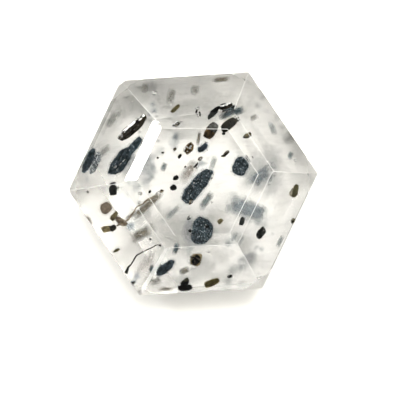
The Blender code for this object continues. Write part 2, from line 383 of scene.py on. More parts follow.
def node_body(*names: str) -> BMesh:
    """The corners and faces of CAD nodes, merged.

    Args:
        *names: The nodes.

    Returns:
        One body for all of them, in millimetres.
    """
    body = bmesh.new()
    for name in names:
        body.from_mesh(frame["nodes"][name].data)
    bmesh.ops.scale(body, vec=(1 / MM,) * 3, verts=body.verts)
    bmesh.ops.remove_doubles(body, verts=body.verts, dist=MERGE_WITHIN)
    return body


def add_body(body: BMesh, other: BMesh, slot: int) -> None:
    """Puts another body into this one, with a material slot of its own.

    Args:
        body: The body that grows.
        other: The body that goes into it, which is used up.
        slot: The slot of the new faces.
    """
    for face in other.faces:
        face.material_index = slot
    holder = bpy.data.meshes.new("holder")
    other.to_mesh(holder)
    other.free()
    body.from_mesh(holder)
    bpy.data.meshes.remove(holder)


def refine(body: BMesh, longest: float, rounds: int = 5) -> None:
    """Splits edges until none is longer than this.

    Args:
        body: The body to refine.
        longest: The longest edge that stays, in millimetres.
        rounds: The most times that it splits.
    """
    bmesh.ops.triangulate(body, faces=body.faces)
    for _ in range(rounds):
        edges = [edge for edge in body.edges if edge.calc_length() > longest]
        if not edges:
            break
        bmesh.ops.subdivide_edges(body, edges=edges, cuts=1, use_grid_fill=True)
        bmesh.ops.triangulate(body, faces=body.faces)


def soften(body: BMesh, times: int, factor: float = 0.5) -> None:
    """Rounds a body off.

    Args:
        body: The body to round.
        times: How many times its corners move.
        factor: How far each moves towards its neighbours' middle.
    """
    for _ in range(times):
        bmesh.ops.smooth_vert(
            body, verts=body.verts, factor=factor,
            use_axis_x=True, use_axis_y=True, use_axis_z=True,
        )


def grow(body: BMesh, by: float) -> None:
    """Moves every corner outwards along its normal.

    Args:
        body: The body that grows.
        by: How far, in millimetres.
    """
    body.normal_update()
    shifts = [vert.normal * by for vert in body.verts]
    for vert, shift in zip(body.verts, shifts):
        vert.co += shift


def swell(body: BMesh, lie: Lie, by: float) -> None:
    """Scales a body about its middle, so that each side moves out by about this much.

    Args:
        body: The body to scale.
        lie: How it lies.
        by: How far its sides move, in millimetres, and inwards if below 0.
    """
    share = Vector(max(1 + by / half, 0.35) for half in lie.half)
    local = Matrix.Translation(lie.middle) @ lie.turn.to_4x4()
    bmesh.ops.scale(body, vec=share, space=local.inverted(), verts=body.verts)


def roughen(body: BMesh, height: float, size: float, seed: float = 0.0) -> None:
    """Moves corners in and out along their normals by noise.

    Args:
        body: The body to roughen.
        height: The most that a corner moves, in millimetres.
        size: How far the lumps are apart.
        seed: Where in the noise it is read.
    """
    body.normal_update()
    shifts = [
        vert.normal * (height * noise.noise(vert.co / size + Vector((seed, seed, seed))))
        for vert in body.verts
    ]
    for vert, shift in zip(body.verts, shifts):
        vert.co += shift


def lay(body: BMesh, spot: Vector, size: Vector, heading: float) -> None:
    """Sizes a body of unit size, turns it and moves it into its place.

    Args:
        body: The body, about the origin.
        spot: Where its middle goes, in millimetres.
        size: Its length, width and thickness.
        heading: How far its length is turned from +X, in degrees.
    """
    place = Matrix.Translation(spot) @ Matrix.Rotation(math.radians(heading), 4, "Z")
    bmesh.ops.transform(body, matrix=place @ Matrix.Diagonal((*size, 1.0)), verts=body.verts)


def wrap(body: BMesh) -> None:
    """Turns a body into its convex hull.

    Args:
        body: The body.
    """
    made = bmesh.ops.convex_hull(body, input=body.verts, use_existing_faces=False)
    inside = made["geom_interior"] + made["geom_unused"]
    spare = {item for item in inside if isinstance(item, BMVert)}
    bmesh.ops.delete(body, geom=list(spare), context="VERTS")


def lump(spot: Vector, size: Vector, heading: float, rough: float, seed: float) -> BMesh:
    """A rounded lump.

    Args:
        spot: Its middle, in millimetres.
        size: Its length, width and thickness.
        heading: How far its length is turned from +X, in degrees.
        rough: How uneven it is, as a share of its size.
        seed: Where in the noise its unevenness is read.

    Returns:
        The body.
    """
    body = bmesh.new()
    bmesh.ops.create_icosphere(body, subdivisions=3, radius=0.5)
    for vert in body.verts:
        away = Vector((seed, -seed, seed))
        vert.co *= 1 + rough * noise.fractal(vert.co * 3 + away, 1.0, 2.0, 3)
    lay(body, spot, size, heading)
    return body


def shard(
    spot: Vector, size: Vector, heading: float, seed: float, uneven: float = 0.09
) -> BMesh:
    """A small angular grain with flat faces.

    Args:
        spot: Its middle, in millimetres.
        size: Its length, width and thickness.
        heading: How far its length is turned from +X, in degrees.
        seed: What its corners are drawn from.
        uneven: The most that a corner is moved, as a share of its size.

    Returns:
        The body.
    """
    dice = random.Random(seed)
    body = bmesh.new()
    bmesh.ops.create_cube(body, size=1.0)
    bmesh.ops.subdivide_edges(body, edges=body.edges, cuts=1, use_grid_fill=True)
    for vert in body.verts:
        shift = Vector(dice.uniform(-uneven, uneven) for _ in range(3))
        vert.co = vert.co.normalized() * 0.5 + shift
    wrap(body)
    lay(body, spot, size, heading)
    bmesh.ops.recalc_face_normals(body, faces=body.faces)
    return body


def thread(points: list[Vector], radii: list[float], sides: int = 6) -> BMesh:
    """A thin closed strand along a line of points.

    Args:
        points: The line, in millimetres.
        radii: Half the strand's thickness at each point.
        sides: How many sides it has.

    Returns:
        The body.
    """
    body = bmesh.new()
    rings = []
    for number, (point, radius) in enumerate(zip(points, radii)):
        before, after = points[max(number - 1, 0)], points[min(number + 1, len(points) - 1)]
        aim = (after - before).to_track_quat("Z", "Y").to_matrix().to_4x4()
        ring = bmesh.ops.create_circle(
            body, cap_ends=number in (0, len(points) - 1), radius=radius, segments=sides,
            matrix=Matrix.Translation(point) @ aim,
        )["verts"]
        rings.append([e for e in {e for v in ring for e in v.link_edges}])
    for first, second in zip(rings, rings[1:]):
        bmesh.ops.bridge_loops(body, edges=first + second)
    bmesh.ops.recalc_face_normals(body, faces=body.faces)
    return body


def new_piece(
    name: str, body: BMesh, materials: Iterable[Material], smooth: bool = False
) -> Object:
    """Makes a piece of the model from a body in millimetres, riding with the stone.

    Args:
        name: The piece's name.
        body: Its shape, which is used up.
        materials: The materials of its slots in order.
        smooth: Whether its faces are shaded as one curved surface.

    Returns:
        The object.
    """
    bmesh.ops.scale(body, vec=(MM, MM, MM), verts=body.verts)
    for face in body.faces:
        face.smooth = smooth
    mesh = bpy.data.meshes.new(name)
    body.to_mesh(mesh)
    body.free()
    for material in materials:
        mesh.materials.append(material)
    piece = bpy.data.objects.new(name, mesh)
    bpy.context.scene.collection.objects.link(piece)
    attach(piece, next(iter(frame["bodies"])))
    LOG.info("%s: %d faces", name, len(mesh.polygons))
    return piece


# Finishes


@dataclass(frozen=True)
class Absorption:
    """What an inside takes out of light: the colour it leaves, and how fast, per metre."""

    colour: Colour
    density: float


@dataclass(frozen=True)
class Mineral:
    """The surface of a crystal's core.

    dark and light are the colours of its mottle, and speck that of its fine bright grains. Sizes
    are in millimetres. rim tints the outer part of the crystal, and second the part that lies in
    the direction second_way, along and across it, from second_from. silver is the share of it that
    a film of gas turns into a mirror, most of it on one side.
    """

    FILM: ClassVar[Colour] = (0.62, 0.63, 0.64)
    MOTTLE_SPAN: ClassVar[tuple[float, float]] = (0.35, 0.68)
    BAND: ClassVar[float] = 0.07
    FAINT_BAND: ClassVar[float] = 0.25
    SECOND_EDGE: ClassVar[float] = 0.08
    RIM_EDGE: ClassVar[float] = 0.25
    SPECK_EDGE: ClassVar[float] = 0.06
    FILM_UNEVEN: ClassVar[float] = 2.8

    dark: Colour
    light: Colour
    speck: Colour = (0.3, 0.34, 0.38)
    specks: float = 0.1
    mottle: float = 0.12
    grain: float = 0.035
    streak: float = 2.0
    rough: tuple[float, float] = (0.3, 0.6)
    relief: float = 0.012
    rim: Colour | None = None
    rim_from: float = 0.75
    second: Colour | None = None
    second_way: tuple[float, float] = (1.0, 0.0)
    second_from: float = 0.0
    silver: float = 0.0

    def dress(self, name: str, lie: Lie) -> Material:
        """Makes the material for one crystal.

        Args:
            name: The material's name.
            lie: How the crystal lies.

        Returns:
            The material.
        """
        material, shader = new_material(name)
        at = shader.place(lie.middle, lie.turn)
        drawn = shader.drawn_out(at, (self.streak, 1.0, 1.0))
        mottle = shader.cloud(drawn, self.mottle, 4.0, 0.6)
        grain = shader.cloud(drawn, self.grain, 2.0, 0.5)
        parts = shader.node("ShaderNodeSeparateXYZ", inputs={"Vector": at})
        along = shader.signal(parts, "X") / lie.half.x
        across = shader.signal(parts, "Y") / lie.half.y
        colour = shader.blend(shader.ease(mottle, *self.MOTTLE_SPAN), self.dark, self.light)
        if self.second:
            way = along * self.second_way[0] + across * self.second_way[1] + (mottle - 0.5) * 0.7
            bands = shader.cloud(shader.drawn_out(at, (0.5, 4.0, 1.0)), self.BAND, 2.0)
            faint = tuple(part * self.FAINT_BAND for part in self.second)
            second = shader.blend(shader.ease(bands, 0.4, 0.6), faint, self.second)
            low, high = self.second_from - self.SECOND_EDGE, self.second_from + self.SECOND_EDGE
            colour = shader.blend(shader.ease(way, low, high), colour, second)
        if self.rim:
            reach = (along * along + across * across) ** 0.5 + (mottle - 0.5) * 0.5
            rim = shader.ease(reach, self.rim_from, self.rim_from + self.RIM_EDGE)
            colour = shader.blend(rim, colour, self.rim)
        bright = 0.72 - 0.22 * self.specks**0.5
        specks = shader.ease(grain * 0.75 + mottle * 0.25, bright, bright + self.SPECK_EDGE)
        colour = shader.blend(specks, colour, self.speck)
        inputs = {
            "Base Color": colour,
            "Roughness": mottle * (self.rough[1] - self.rough[0]) + self.rough[0],
            "IOR": CORE_INDEX,
            "Normal": shader.bump(mottle * 0.6 + grain * 0.4, self.relief),
        }
        if self.silver:
            film = (shader.cloud(drawn, self.mottle * 0.8, 3.0, 0.6) - 0.5) * self.FILM_UNEVEN
            mask = shader.ease(across + film + self.silver, -0.05, 0.10)
            inputs["Metallic"] = mask
            inputs["Base Color"] = shader.blend(mask, colour, self.FILM)
        shader.surface(inputs)
        return material


@dataclass(frozen=True)
class Skin:
    """The clear, absorbing outside of a crystal, which lets its edge fade into the quartz.

    grow is how far it stands off the core in millimetres, and index is its refractive index over
    that of quartz.
    """

    grow: float
    absorbs: Absorption
    index: float = 1.0

    def dress(self, name: str, _: Lie) -> Material:
        """Makes the material for one crystal's skin.

        Args:
            name: The material's name.
            _: How the crystal lies, which makes no difference to a plain skin.

        Returns:
            The material.
        """
        material, shader = new_material(name)
        shader.surface(
            {
                "Base Color": (1.0, 1.0, 1.0),
                "Transmission Weight": 1.0,
                "Roughness": 0.0,
                "IOR": self.index,
            },
            self.absorbs,
        )
        return material


@dataclass(frozen=True)
class Haze:
    """A crystal that is seen soft: a mottled colour, and a ragged outline that fades out.

    most is how much its middle hides, speckle how far its fine grain opens it, and fade where its
    outline starts and ends, as shares of the crystal's half size.
    """

    dark: Colour
    light: Colour
    most: float
    speckle: float = 0.3
    grain: float = 0.06
    ragged: float = 0.9
    streak: float = 1.5
    fade: tuple[float, float] = (0.3, 1.15)

    FINEST_MOTTLE: ClassVar[float] = 0.12
    MOTTLE_SPAN: ClassVar[tuple[float, float]] = (0.36, 0.64)
    GRAIN_SPAN: ClassVar[tuple[float, float]] = (0.38, 0.56)
    SQUARENESS: ClassVar[float] = 4.0

    def dress(self, name: str, lie: Lie) -> Material:
        """Makes the material for one crystal.

        Args:
            name: The material's name.
            lie: How the crystal lies.

        Returns:
            The material.
        """
        material, shader = new_material(name)
        at = shader.place(lie.middle, lie.turn)
        drawn = shader.drawn_out(at, (self.streak, 1.0, 1.0))
        grain = shader.cloud(drawn, self.grain, 2.0)
        mottle = shader.cloud(drawn, max(lie.half.y * 1.2, self.FINEST_MOTTLE), 4.0, 0.6)
        parts = shader.node("ShaderNodeSeparateXYZ", inputs={"Vector": at})
        along = shader.signal(parts, "X") / lie.half.x
        across = shader.signal(parts, "Y") / lie.half.y
        reach = (along**self.SQUARENESS + across**self.SQUARENESS) ** (1 / self.SQUARENESS)
        reach = reach + (mottle - 0.5) * self.ragged
        open_share = (1 - shader.ease(grain, *self.GRAIN_SPAN)) * self.speckle
        tone = shader.ease(mottle * 0.6 + grain * 0.4, *self.MOTTLE_SPAN)
        shader.surface(
            {
                "Base Color": shader.blend(tone, self.dark, self.light),
                "Roughness": mottle * 0.3 + 0.5,
                "IOR": HAZE_INDEX,
                "Alpha": (1 - shader.ease(reach, *self.fade)) * (1 - open_share) * self.most,
            }
        )
        return material


@dataclass(frozen=True)
class Look:
    """How one crystal is dressed: its core if it has one, and the skins round it, inner first."""

    mineral: Mineral | Haze | None
    skins: tuple[Skin, ...]
    round_off: int = 2
    relief: float = 0.02
    bevel: float = 0.1


SLATE_TINT = (0.30, 0.38, 0.46)
GREY_TINT = (0.36, 0.38, 0.42)
OLIVE_TINT = (0.55, 0.45, 0.15)
BROWN_TINT = (0.52, 0.42, 0.32)

SLATE = Mineral(
    (0.010, 0.018, 0.024), (0.065, 0.090, 0.110), (0.50, 0.56, 0.60), 0.24, 0.13, 0.05, 1.4,
    (0.35, 0.7), 0.02,
)
SLATE_SPARSE = Mineral(
    (0.014, 0.023, 0.029), (0.075, 0.100, 0.120), (0.32, 0.38, 0.42), 0.14, 0.16, 0.05, 1.6,
    (0.4, 0.7), 0.015,
)
SLATE_MOTTLED = Mineral(
    (0.011, 0.017, 0.021), (0.090, 0.122, 0.142), (0.50, 0.56, 0.60), 0.30, 0.10, 0.05, 1.2,
    (0.35, 0.7), 0.02,
)
BLACK = Mineral(
    (0.001, 0.001, 0.001), (0.005, 0.005, 0.004), (0.10, 0.10, 0.09), 0.02, 0.12, 0.04, 2.5,
    (0.2, 0.4), 0.01,
)
CHARCOAL = Mineral(
    (0.008, 0.008, 0.008), (0.022, 0.022, 0.022), (0.08, 0.08, 0.08), 0.05, 0.14, 0.04, 1.0,
    (0.3, 0.5), 0.01,
)
OLIVE = Mineral(
    (0.030, 0.025, 0.008), (0.105, 0.088, 0.034), (0.30, 0.27, 0.16), 0.04, 0.18, 0.05, 3.0,
    (0.3, 0.5), 0.01, rim=(0.17, 0.145, 0.075), rim_from=0.85,
)
OLIVE_PALE = Mineral(
    (0.060, 0.052, 0.026), (0.19, 0.165, 0.090), (0.45, 0.42, 0.30), 0.06, 0.18, 0.05, 3.0,
    (0.3, 0.5), 0.01, rim=(0.13, 0.11, 0.06), rim_from=0.85,
)
OLIVE_WINDOW = Mineral(
    (0.055, 0.049, 0.026), (0.13, 0.118, 0.070), (0.5, 0.48, 0.4), 0.06, 0.2, 0.05, 2.0,
    (0.3, 0.5), 0.01, second=(0.60, 0.56, 0.46), second_way=(-0.35, 0.9), second_from=0.12,
)
FLECKED = Mineral(
    (0.003, 0.003, 0.003), (0.045, 0.045, 0.040), (0.5, 0.5, 0.48), 0.20, 0.10, 0.05, 3.0,
    (0.25, 0.5), 0.015,
)
BROWN = Mineral(
    (0.100, 0.074, 0.048), (0.32, 0.27, 0.20), (0.70, 0.66, 0.58), 0.30, 0.12, 0.05, 3.5,
    (0.4, 0.6), 0.01,
)
SILVER = Mineral(
    (0.001, 0.001, 0.001), (0.030, 0.024, 0.016), (0.6, 0.6, 0.6), 0.15, 0.14, 0.04, 2.2,
    (0.15, 0.4), 0.02, silver=-0.42,
)
SPECKLED = Mineral(
    (0.040, 0.050, 0.060), (0.28, 0.31, 0.34), (0.88, 0.90, 0.91), 0.60, 0.12, 0.06, 1.2,
    (0.3, 0.6), 0.02,
)
GOLDEN = Mineral(
    (0.001, 0.001, 0.001), (0.004, 0.004, 0.003), (0.42, 0.36, 0.22), 0.38, 0.16, 0.045, 2.6,
    (0.15, 0.4), 0.01, rim=(0.25, 0.20, 0.11), rim_from=0.70,
)
BROWN_GREY = Mineral(
    (0.002, 0.001, 0.001), (0.120, 0.070, 0.022), (0.45, 0.36, 0.20), 0.08, 0.16, 0.05, 3.0,
    (0.2, 0.4), 0.012, second=(0.11, 0.115, 0.11), second_from=0.1,
)
GOLD_SPOTTED = Mineral(
    (0.015, 0.009, 0.003), (0.17, 0.105, 0.038), (0.85, 0.83, 0.78), 0.30, 0.11, 0.05, 1.5,
    (0.2, 0.4), 0.012,
)
OLIVE_BLACK = Mineral(
    (0.001, 0.001, 0.001), (0.012, 0.010, 0.004), (0.20, 0.18, 0.12), 0.03, 0.2, 0.05, 3.0,
    (0.2, 0.4), 0.012, second=(0.012, 0.010, 0.005), second_way=(0.8, -0.5), second_from=0.05,
)
GOLD_BLACK = Mineral(
    (0.085, 0.066, 0.030), (0.50, 0.43, 0.24), (0.8, 0.74, 0.5), 0.14, 0.2, 0.05, 2.5,
    (0.2, 0.4), 0.012, second=(0.012, 0.011, 0.008), second_from=0.05,
)
BLACK_OLIVE = Mineral(
    (0.001, 0.001, 0.001), (0.006, 0.009, 0.010), (0.05, 0.06, 0.06), 0.03, 0.2, 0.05, 1.5,
    (0.3, 0.5), 0.012, second=(0.070, 0.062, 0.036), second_way=(0.2, 1.0), second_from=0.25,
)
TAUPE = Mineral(
    (0.165, 0.135, 0.105), (0.33, 0.275, 0.215), (0.4, 0.35, 0.3), 0.10, 0.2, 0.06, 1.3,
    (0.5, 0.7), 0.01, rim=(0.18, 0.15, 0.115), rim_from=0.6,
)
# White grains that are painted highlights: they stand in for the bright glints of gas bubbles and
# films.
GLINT = Mineral(
    (0.12, 0.12, 0.12), (0.95, 0.95, 0.94), (0.98, 0.98, 0.98), 0.5, 0.09, 0.04, 1.5, (0.2, 0.5),
    0.02,
)


def crisp_look(
    mineral: Mineral, tint: Colour, density: float, relief: float, grow: float = 0.02,
    round_off: int = 1,
) -> Look:
    """A sharp crystal in one thin skin.

    Args:
        mineral: The surface of its core.
        tint: The colour that its skin leaves in light.
        density: How fast the skin takes light, per metre.
        relief: How uneven its surface is, in millimetres.
        grow: How thick the skin is.
        round_off: How many times its corners are rounded off.

    Returns:
        The look.
    """
    skin = Skin(grow, Absorption(tint, density), CRISP_SKIN_INDEX)
    return Look(mineral, (skin,), round_off, relief)


def slate_look(mineral: Mineral, inner: float, density: float, round_off: int) -> Look:
    """A slate-grey crystal that fades into the quartz through two skins.

    Args:
        mineral: The surface of its core.
        inner: How far the inner skin stands off the core, in millimetres.
        density: How fast the inner skin takes light, per metre.
        round_off: How many times its corners are rounded off.

    Returns:
        The look.
    """
    skins = (
        Skin(inner, Absorption(SLATE_TINT, density)), Skin(0.11, Absorption(SLATE_TINT, 900.0)),
    )
    return Look(mineral, skins, round_off, 0.05)


def soft_look(haze: Haze, relief: float, round_off: int = 5) -> Look:
    """A blurred crystal without skins.

    Args:
        haze: Its finish.
        relief: How uneven its surface is, in millimetres.
        round_off: How many times its corners are rounded off.

    Returns:
        The look.
    """
    return Look(haze, (), round_off, relief)


class Looks(Enum):
    """Every way in which a crystal here is dressed."""

    SLATE_BIG = slate_look(SLATE, 0.04, 2600.0, 3)
    SLATE_SOFT = slate_look(SLATE_SPARSE, 0.05, 2200.0, 5)
    SLATE_LIGHT = slate_look(SLATE_MOTTLED, 0.04, 2600.0, 3)
    SLATE_FAINT = Look(
        None,
        (Skin(-0.05, Absorption(SLATE_TINT, 6500.0)), Skin(0.04, Absorption(SLATE_TINT, 2600.0))),
        5, 0.05,
    )
    SLATE_HAZE = soft_look(Haze((0.030, 0.050, 0.060), (0.20, 0.25, 0.27), 0.72, 0.4), 0.06)
    SLATE_HAZE_DARK = soft_look(Haze((0.020, 0.034, 0.042), (0.11, 0.145, 0.165), 0.97, 0.2), 0.05)
    SLATE_CLOUD = soft_look(
        Haze((0.060, 0.095, 0.125), (0.30, 0.36, 0.40), 0.72, 0.5, 0.06, 1.9, 1.0, (0.3, 1.1)),
        0.10, 4,
    )
    SLATE_FADE = soft_look(Haze((0.050, 0.080, 0.090), (0.25, 0.31, 0.33), 0.46, 0.4), 0.06)
    GREY_HAZE = soft_look(Haze((0.10, 0.10, 0.085), (0.30, 0.295, 0.27), 0.62, 0.4), 0.06)
    GREY_CLOUD = soft_look(
        Haze((0.13, 0.135, 0.125), (0.36, 0.365, 0.35), 0.62, 0.4, 0.07, 2.0, 1.2, (0.1, 1.1)),
        0.08,
    )
    BROWN_HAZE = soft_look(Haze((0.09, 0.078, 0.055), (0.28, 0.25, 0.20), 0.75, 0.25), 0.05)
    TAUPE_HAZE = soft_look(
        Haze((0.14, 0.12, 0.10), (0.38, 0.34, 0.30), 0.62, 0.45, 0.05, 0.9), 0.06
    )
    STRING_HAZE = soft_look(
        Haze((0.10, 0.085, 0.062), (0.33, 0.30, 0.25), 0.92, 0.35, 0.05, 1.1, 3.0), 0.06
    )
    BLACK_CRISP = crisp_look(BLACK, GREY_TINT, 6000.0, 0.015)
    CHARCOAL_CRISP = crisp_look(CHARCOAL, GREY_TINT, 6000.0, 0.01)
    OLIVE_CRISP = crisp_look(OLIVE, OLIVE_TINT, 5000.0, 0.015, 0.03)
    OLIVE_PALE_CRISP = crisp_look(OLIVE_PALE, OLIVE_TINT, 3000.0, 0.015, 0.03)
    OLIVE_WINDOW_CRISP = crisp_look(OLIVE_WINDOW, OLIVE_TINT, 3000.0, 0.02)
    OLIVE_BLACK_CRISP = crisp_look(OLIVE_BLACK, OLIVE_TINT, 5000.0, 0.015)
    FLECKED_CRISP = crisp_look(FLECKED, GREY_TINT, 5000.0, 0.04)
    BROWN_CRISP = crisp_look(BROWN, BROWN_TINT, 4000.0, 0.02, 0.03)
    BROWN_GREY_CRISP = crisp_look(BROWN_GREY, BROWN_TINT, 5000.0, 0.015)
    GOLDEN_CRISP = crisp_look(GOLDEN, GREY_TINT, 5000.0, 0.01, 0.03, 2)
    GOLD_SPOTTED_CRISP = crisp_look(GOLD_SPOTTED, BROWN_TINT, 5000.0, 0.03)
    GOLD_BLACK_CRISP = crisp_look(GOLD_BLACK, BROWN_TINT, 4000.0, 0.02)
    SILVER_CRISP = Look(SILVER, (), 1, 0.03)
    SPECKLED_SOFT = Look(SPECKLED, (Skin(0.06, Absorption(SLATE_TINT, 1100.0)),), 4, 0.07)
    BLACK_OLIVE_SOFT = Look(BLACK_OLIVE, (Skin(0.05, Absorption(SLATE_TINT, 2600.0)),), 2, 0.03)
    TAUPE_SOFT = Look(TAUPE, (Skin(0.06, Absorption(BROWN_TINT, 1800.0)),), 3, 0.02)
    # Painted highlights, as white grains.
    GLINT = Look(GLINT, (), 1, 0.01)
    PALE = Look(
        None,
        (
            Skin(-0.06, Absorption(GREY_TINT, 1500.0)),
            Skin(0.02, Absorption(GREY_TINT, 900.0)),
            Skin(0.12, Absorption(GREY_TINT, 500.0)),
        ),
        7, 0.08,
    )


NAMED_LOOKS = {
    "blade_centre": Looks.SLATE_LIGHT,
    "blade_upper_left": Looks.SLATE_BIG,
    "round_low": Looks.SLATE_LIGHT,
    "plate_right": Looks.SLATE_LIGHT,
    "blade_silver": Looks.SILVER_CRISP,
    "blade_silver_top": Looks.SILVER_CRISP,
    "flake_far_left": Looks.SPECKLED_SOFT,
    "blade_top": Looks.SLATE_HAZE_DARK,
    "oval_east": Looks.SLATE_HAZE,
    "grain_slate_south": Looks.SLATE_HAZE_DARK,
    "grain_south_west": Looks.SLATE_HAZE_DARK,
    "grain_slate_west": Looks.SLATE_HAZE,
    "deep_south_table": Looks.SLATE_HAZE,
    "deep_south_west": Looks.SLATE_FADE,
    "deep_rod_table": Looks.SLATE_FADE,
    "deep_blade_east": Looks.SLATE_FADE,
    "deep_corner": Looks.SLATE_CLOUD,
    "deep_corner_north_west": Looks.GREY_CLOUD,
    "deep_west": Looks.GREY_CLOUD,
    "deep_cloud_east": Looks.SLATE_CLOUD,
    "deep_pale_south_west": Looks.BROWN_HAZE,
    "teardrop_east": Looks.SLATE_FADE,
    "prism_golden": Looks.GOLDEN_CRISP,
    "prism_north": Looks.BROWN_GREY_CRISP,
    "prism_white_spot": Looks.GOLD_SPOTTED_CRISP,
    "prism_north_east": Looks.OLIVE_BLACK_CRISP,
    "prism_south_west": Looks.GOLD_BLACK_CRISP,
    "prism_lobed": Looks.BLACK_OLIVE_SOFT,
    "prism_hexagon_west": Looks.CHARCOAL_CRISP,
    "prism_brown_west": Looks.BROWN_CRISP,
    "prism_olive_west": Looks.OLIVE_PALE_CRISP,
    "prism_olive_north": Looks.OLIVE_PALE_CRISP,
    "grain_olive_table": Looks.OLIVE_PALE_CRISP,
    "prism_olive_east": Looks.OLIVE_WINDOW_CRISP,
    "prism_south_east": Looks.FLECKED_CRISP,
    "oval_south_east": Looks.CHARCOAL_CRISP,
    "deep_brown_west": Looks.TAUPE_SOFT,
    "deep_centre": Looks.TAUPE_HAZE,
    "edge_south": Looks.BROWN_HAZE,
    "string_brown": Looks.STRING_HAZE,
    "string_tail": Looks.TAUPE_HAZE,
}
SLOT_LOOKS = {
    "diopside_slate": Looks.SLATE_SOFT,
    "diopside_black": Looks.BLACK_CRISP,
    "diopside_olive": Looks.OLIVE_CRISP,
    "diopside_brown": Looks.BROWN_HAZE,
    "diopside_pale": Looks.GREY_HAZE,
}


@dataclass(frozen=True)
class Patch:
    """A soft patch on the underside of the quartz, partly smoky haze and partly painted shade, by
    where it is seen from above: its middle, length, width and heading, and the share of light
    that it takes."""

    east: float
    north: float
    length: float
    width: float
    heading: float
    dark: float


# Grey patches: partly smoky haze, partly painted shade of the shaded floor under the stone as seen
# through the facets.
GREY_PATCHES = (
    Patch(-0.8, 4.36, 7.14, 1.71, 0, 0.28),
    Patch(-2.8, 3.98, 2.29, 1.81, 10, 0.24),
    Patch(-3.85, 3.36, 2.38, 1.62, 52, 0.04),
    Patch(-3.85, 3.79, 0.57, 0.76, 70, 0.36),
    Patch(-4.09, 3.12, 0.71, 0.52, 50, 0.28),
    Patch(-3.42, 3.4, 0.48, 0.62, 60, 0.2),
    Patch(-3.13, 4.07, 0.48, 0.38, 30, 0.42),
    Patch(-4.23, 2.69, 0.67, 0.43, 50, 0.26),
    Patch(-3.56, 2.93, 0.57, 0.29, 40, 0.2),
    Patch(1.1, 4.12, 2.1, 1.14, 0, 0.24),
    Patch(0.15, 3.12, 4.29, 0.81, 0, 0.31),
    Patch(2.68, 1.79, 2.67, 0.62, -56, 0.24),
    Patch(-2.37, -1.45, 2.1, 0.67, -62, 0.13),
    Patch(-1.09, 3.74, 0.43, 0.43, 0, 0.28),
    Patch(-2.42, 3.6, 0.38, 0.43, 80, 0.16),
    Patch(-1.85, 3.79, 0.33, 0.57, 90, 0.14),
    Patch(-1.9, 4.64, 0.29, 0.29, 0, 0.2),
    Patch(-2.85, 4.12, 0.33, 0.43, 0, 0.16),
    Patch(-3.7, 1.69, 1.14, 0.62, 10, 0.16),
    Patch(-4.42, 1.74, 0.57, 0.43, 30, 0.1),
    Patch(5.1, 1.26, 1.81, 1.14, -60, 0.15),
    Patch(2.96, 4.21, 1.24, 0.57, 30, 0.12),
    Patch(3.34, 0.64, 2.0, 1.33, -50, 0.3),
    Patch(4.44, -1.02, 1.62, 1.24, 62, 0.17),
    Patch(5.1, -1.17, 1.24, 0.76, 62, 0.1),
    Patch(-0.13, -2.31, 4.95, 2.38, 0, 0.17),
    Patch(-1.09, -2.02, 2.38, 1.71, 20, 0.12),
    Patch(-0.13, -2.95, 1.2, 0.8, 0, 0.34),
    Patch(1.06, -1.52, 1.1, 0.8, 20, 0.16),
    Patch(-2.3, -1.5, 1.1, 0.8, -60, 0.24),
    Patch(-0.13, -3.02, 3.33, 1.05, 0, 0.14),
    Patch(1.3, -2.17, 1.71, 1.43, -10, 0.27),
    Patch(1.01, -1.31, 1.9, 1.14, 40, 0.18),
    Patch(-2.37, -1.36, 2.48, 1.05, -60, 0.19),
    Patch(-1.56, -2.31, 1.9, 1.24, -50, 0.14),
    Patch(1.01, -4.26, 3.62, 1.81, 0, 0.44),
    Patch(1.1, -3.55, 2.5, 1.05, 0, 0.34),
    Patch(-0.8, -4.64, 2.19, 1.24, 0, 0.3),
    Patch(-1.18, -4.88, 2.38, 1.24, 0, 0.47),
    Patch(-1.66, -4.79, 1.43, 0.86, 30, 0.7),
    Patch(-1.75, -3.5, 1.62, 1.14, 40, 0.34),
    Patch(2.25, -3.98, 0.86, 0.57, 30, 0.22),
    Patch(1.68, -4.69, 0.67, 0.95, 80, 0.18),
    Patch(3.44, -3.93, 0.38, 0.76, 80, 0.16),
    Patch(2.34, -4.83, 0.38, 0.33, 0, 0.2),
)
# Slate-blue patches, likewise partly smoky haze and partly painted shade.
SLATE_PATCHES = (
    Patch(-2.09, 0.83, 2.29, 0.76, 64, 0.66),
    Patch(-0.28, -2.5, 1.05, 0.52, 78, 0.44),
    Patch(3.39, 0.36, 1.33, 1.05, 40, 0.22),
    Patch(3.96, 0.88, 0.76, 0.48, -50, 0.16),
    Patch(2.82, -1.21, 2.1, 1.14, -30, 0.17),
    Patch(2.1, -0.75, 0.95, 0.75, 60, 0.26),
    Patch(3.35, -1.75, 0.9, 0.6, 20, 0.2),
    Patch(-0.8, 2.26, 0.86, 0.57, 80, 0.36),
    Patch(0.34, 0.98, 0.57, 0.48, 50, 0.45),
    Patch(-1.87, 3.45, 0.33, 0.29, 40, 0.5),
    Patch(-2.94, -2.07, 0.67, 0.48, 30, 0.2),
    Patch(0.63, -0.64, 1.24, 0.57, 60, 0.1),
    Patch(-0.99, -1.36, 1.33, 0.57, 45, 0.1),
    Patch(4.82, -1.64, 1.43, 0.38, 62, 0.14),
    Patch(1.91, -2.6, 1.05, 0.57, 50, 0.1),
)


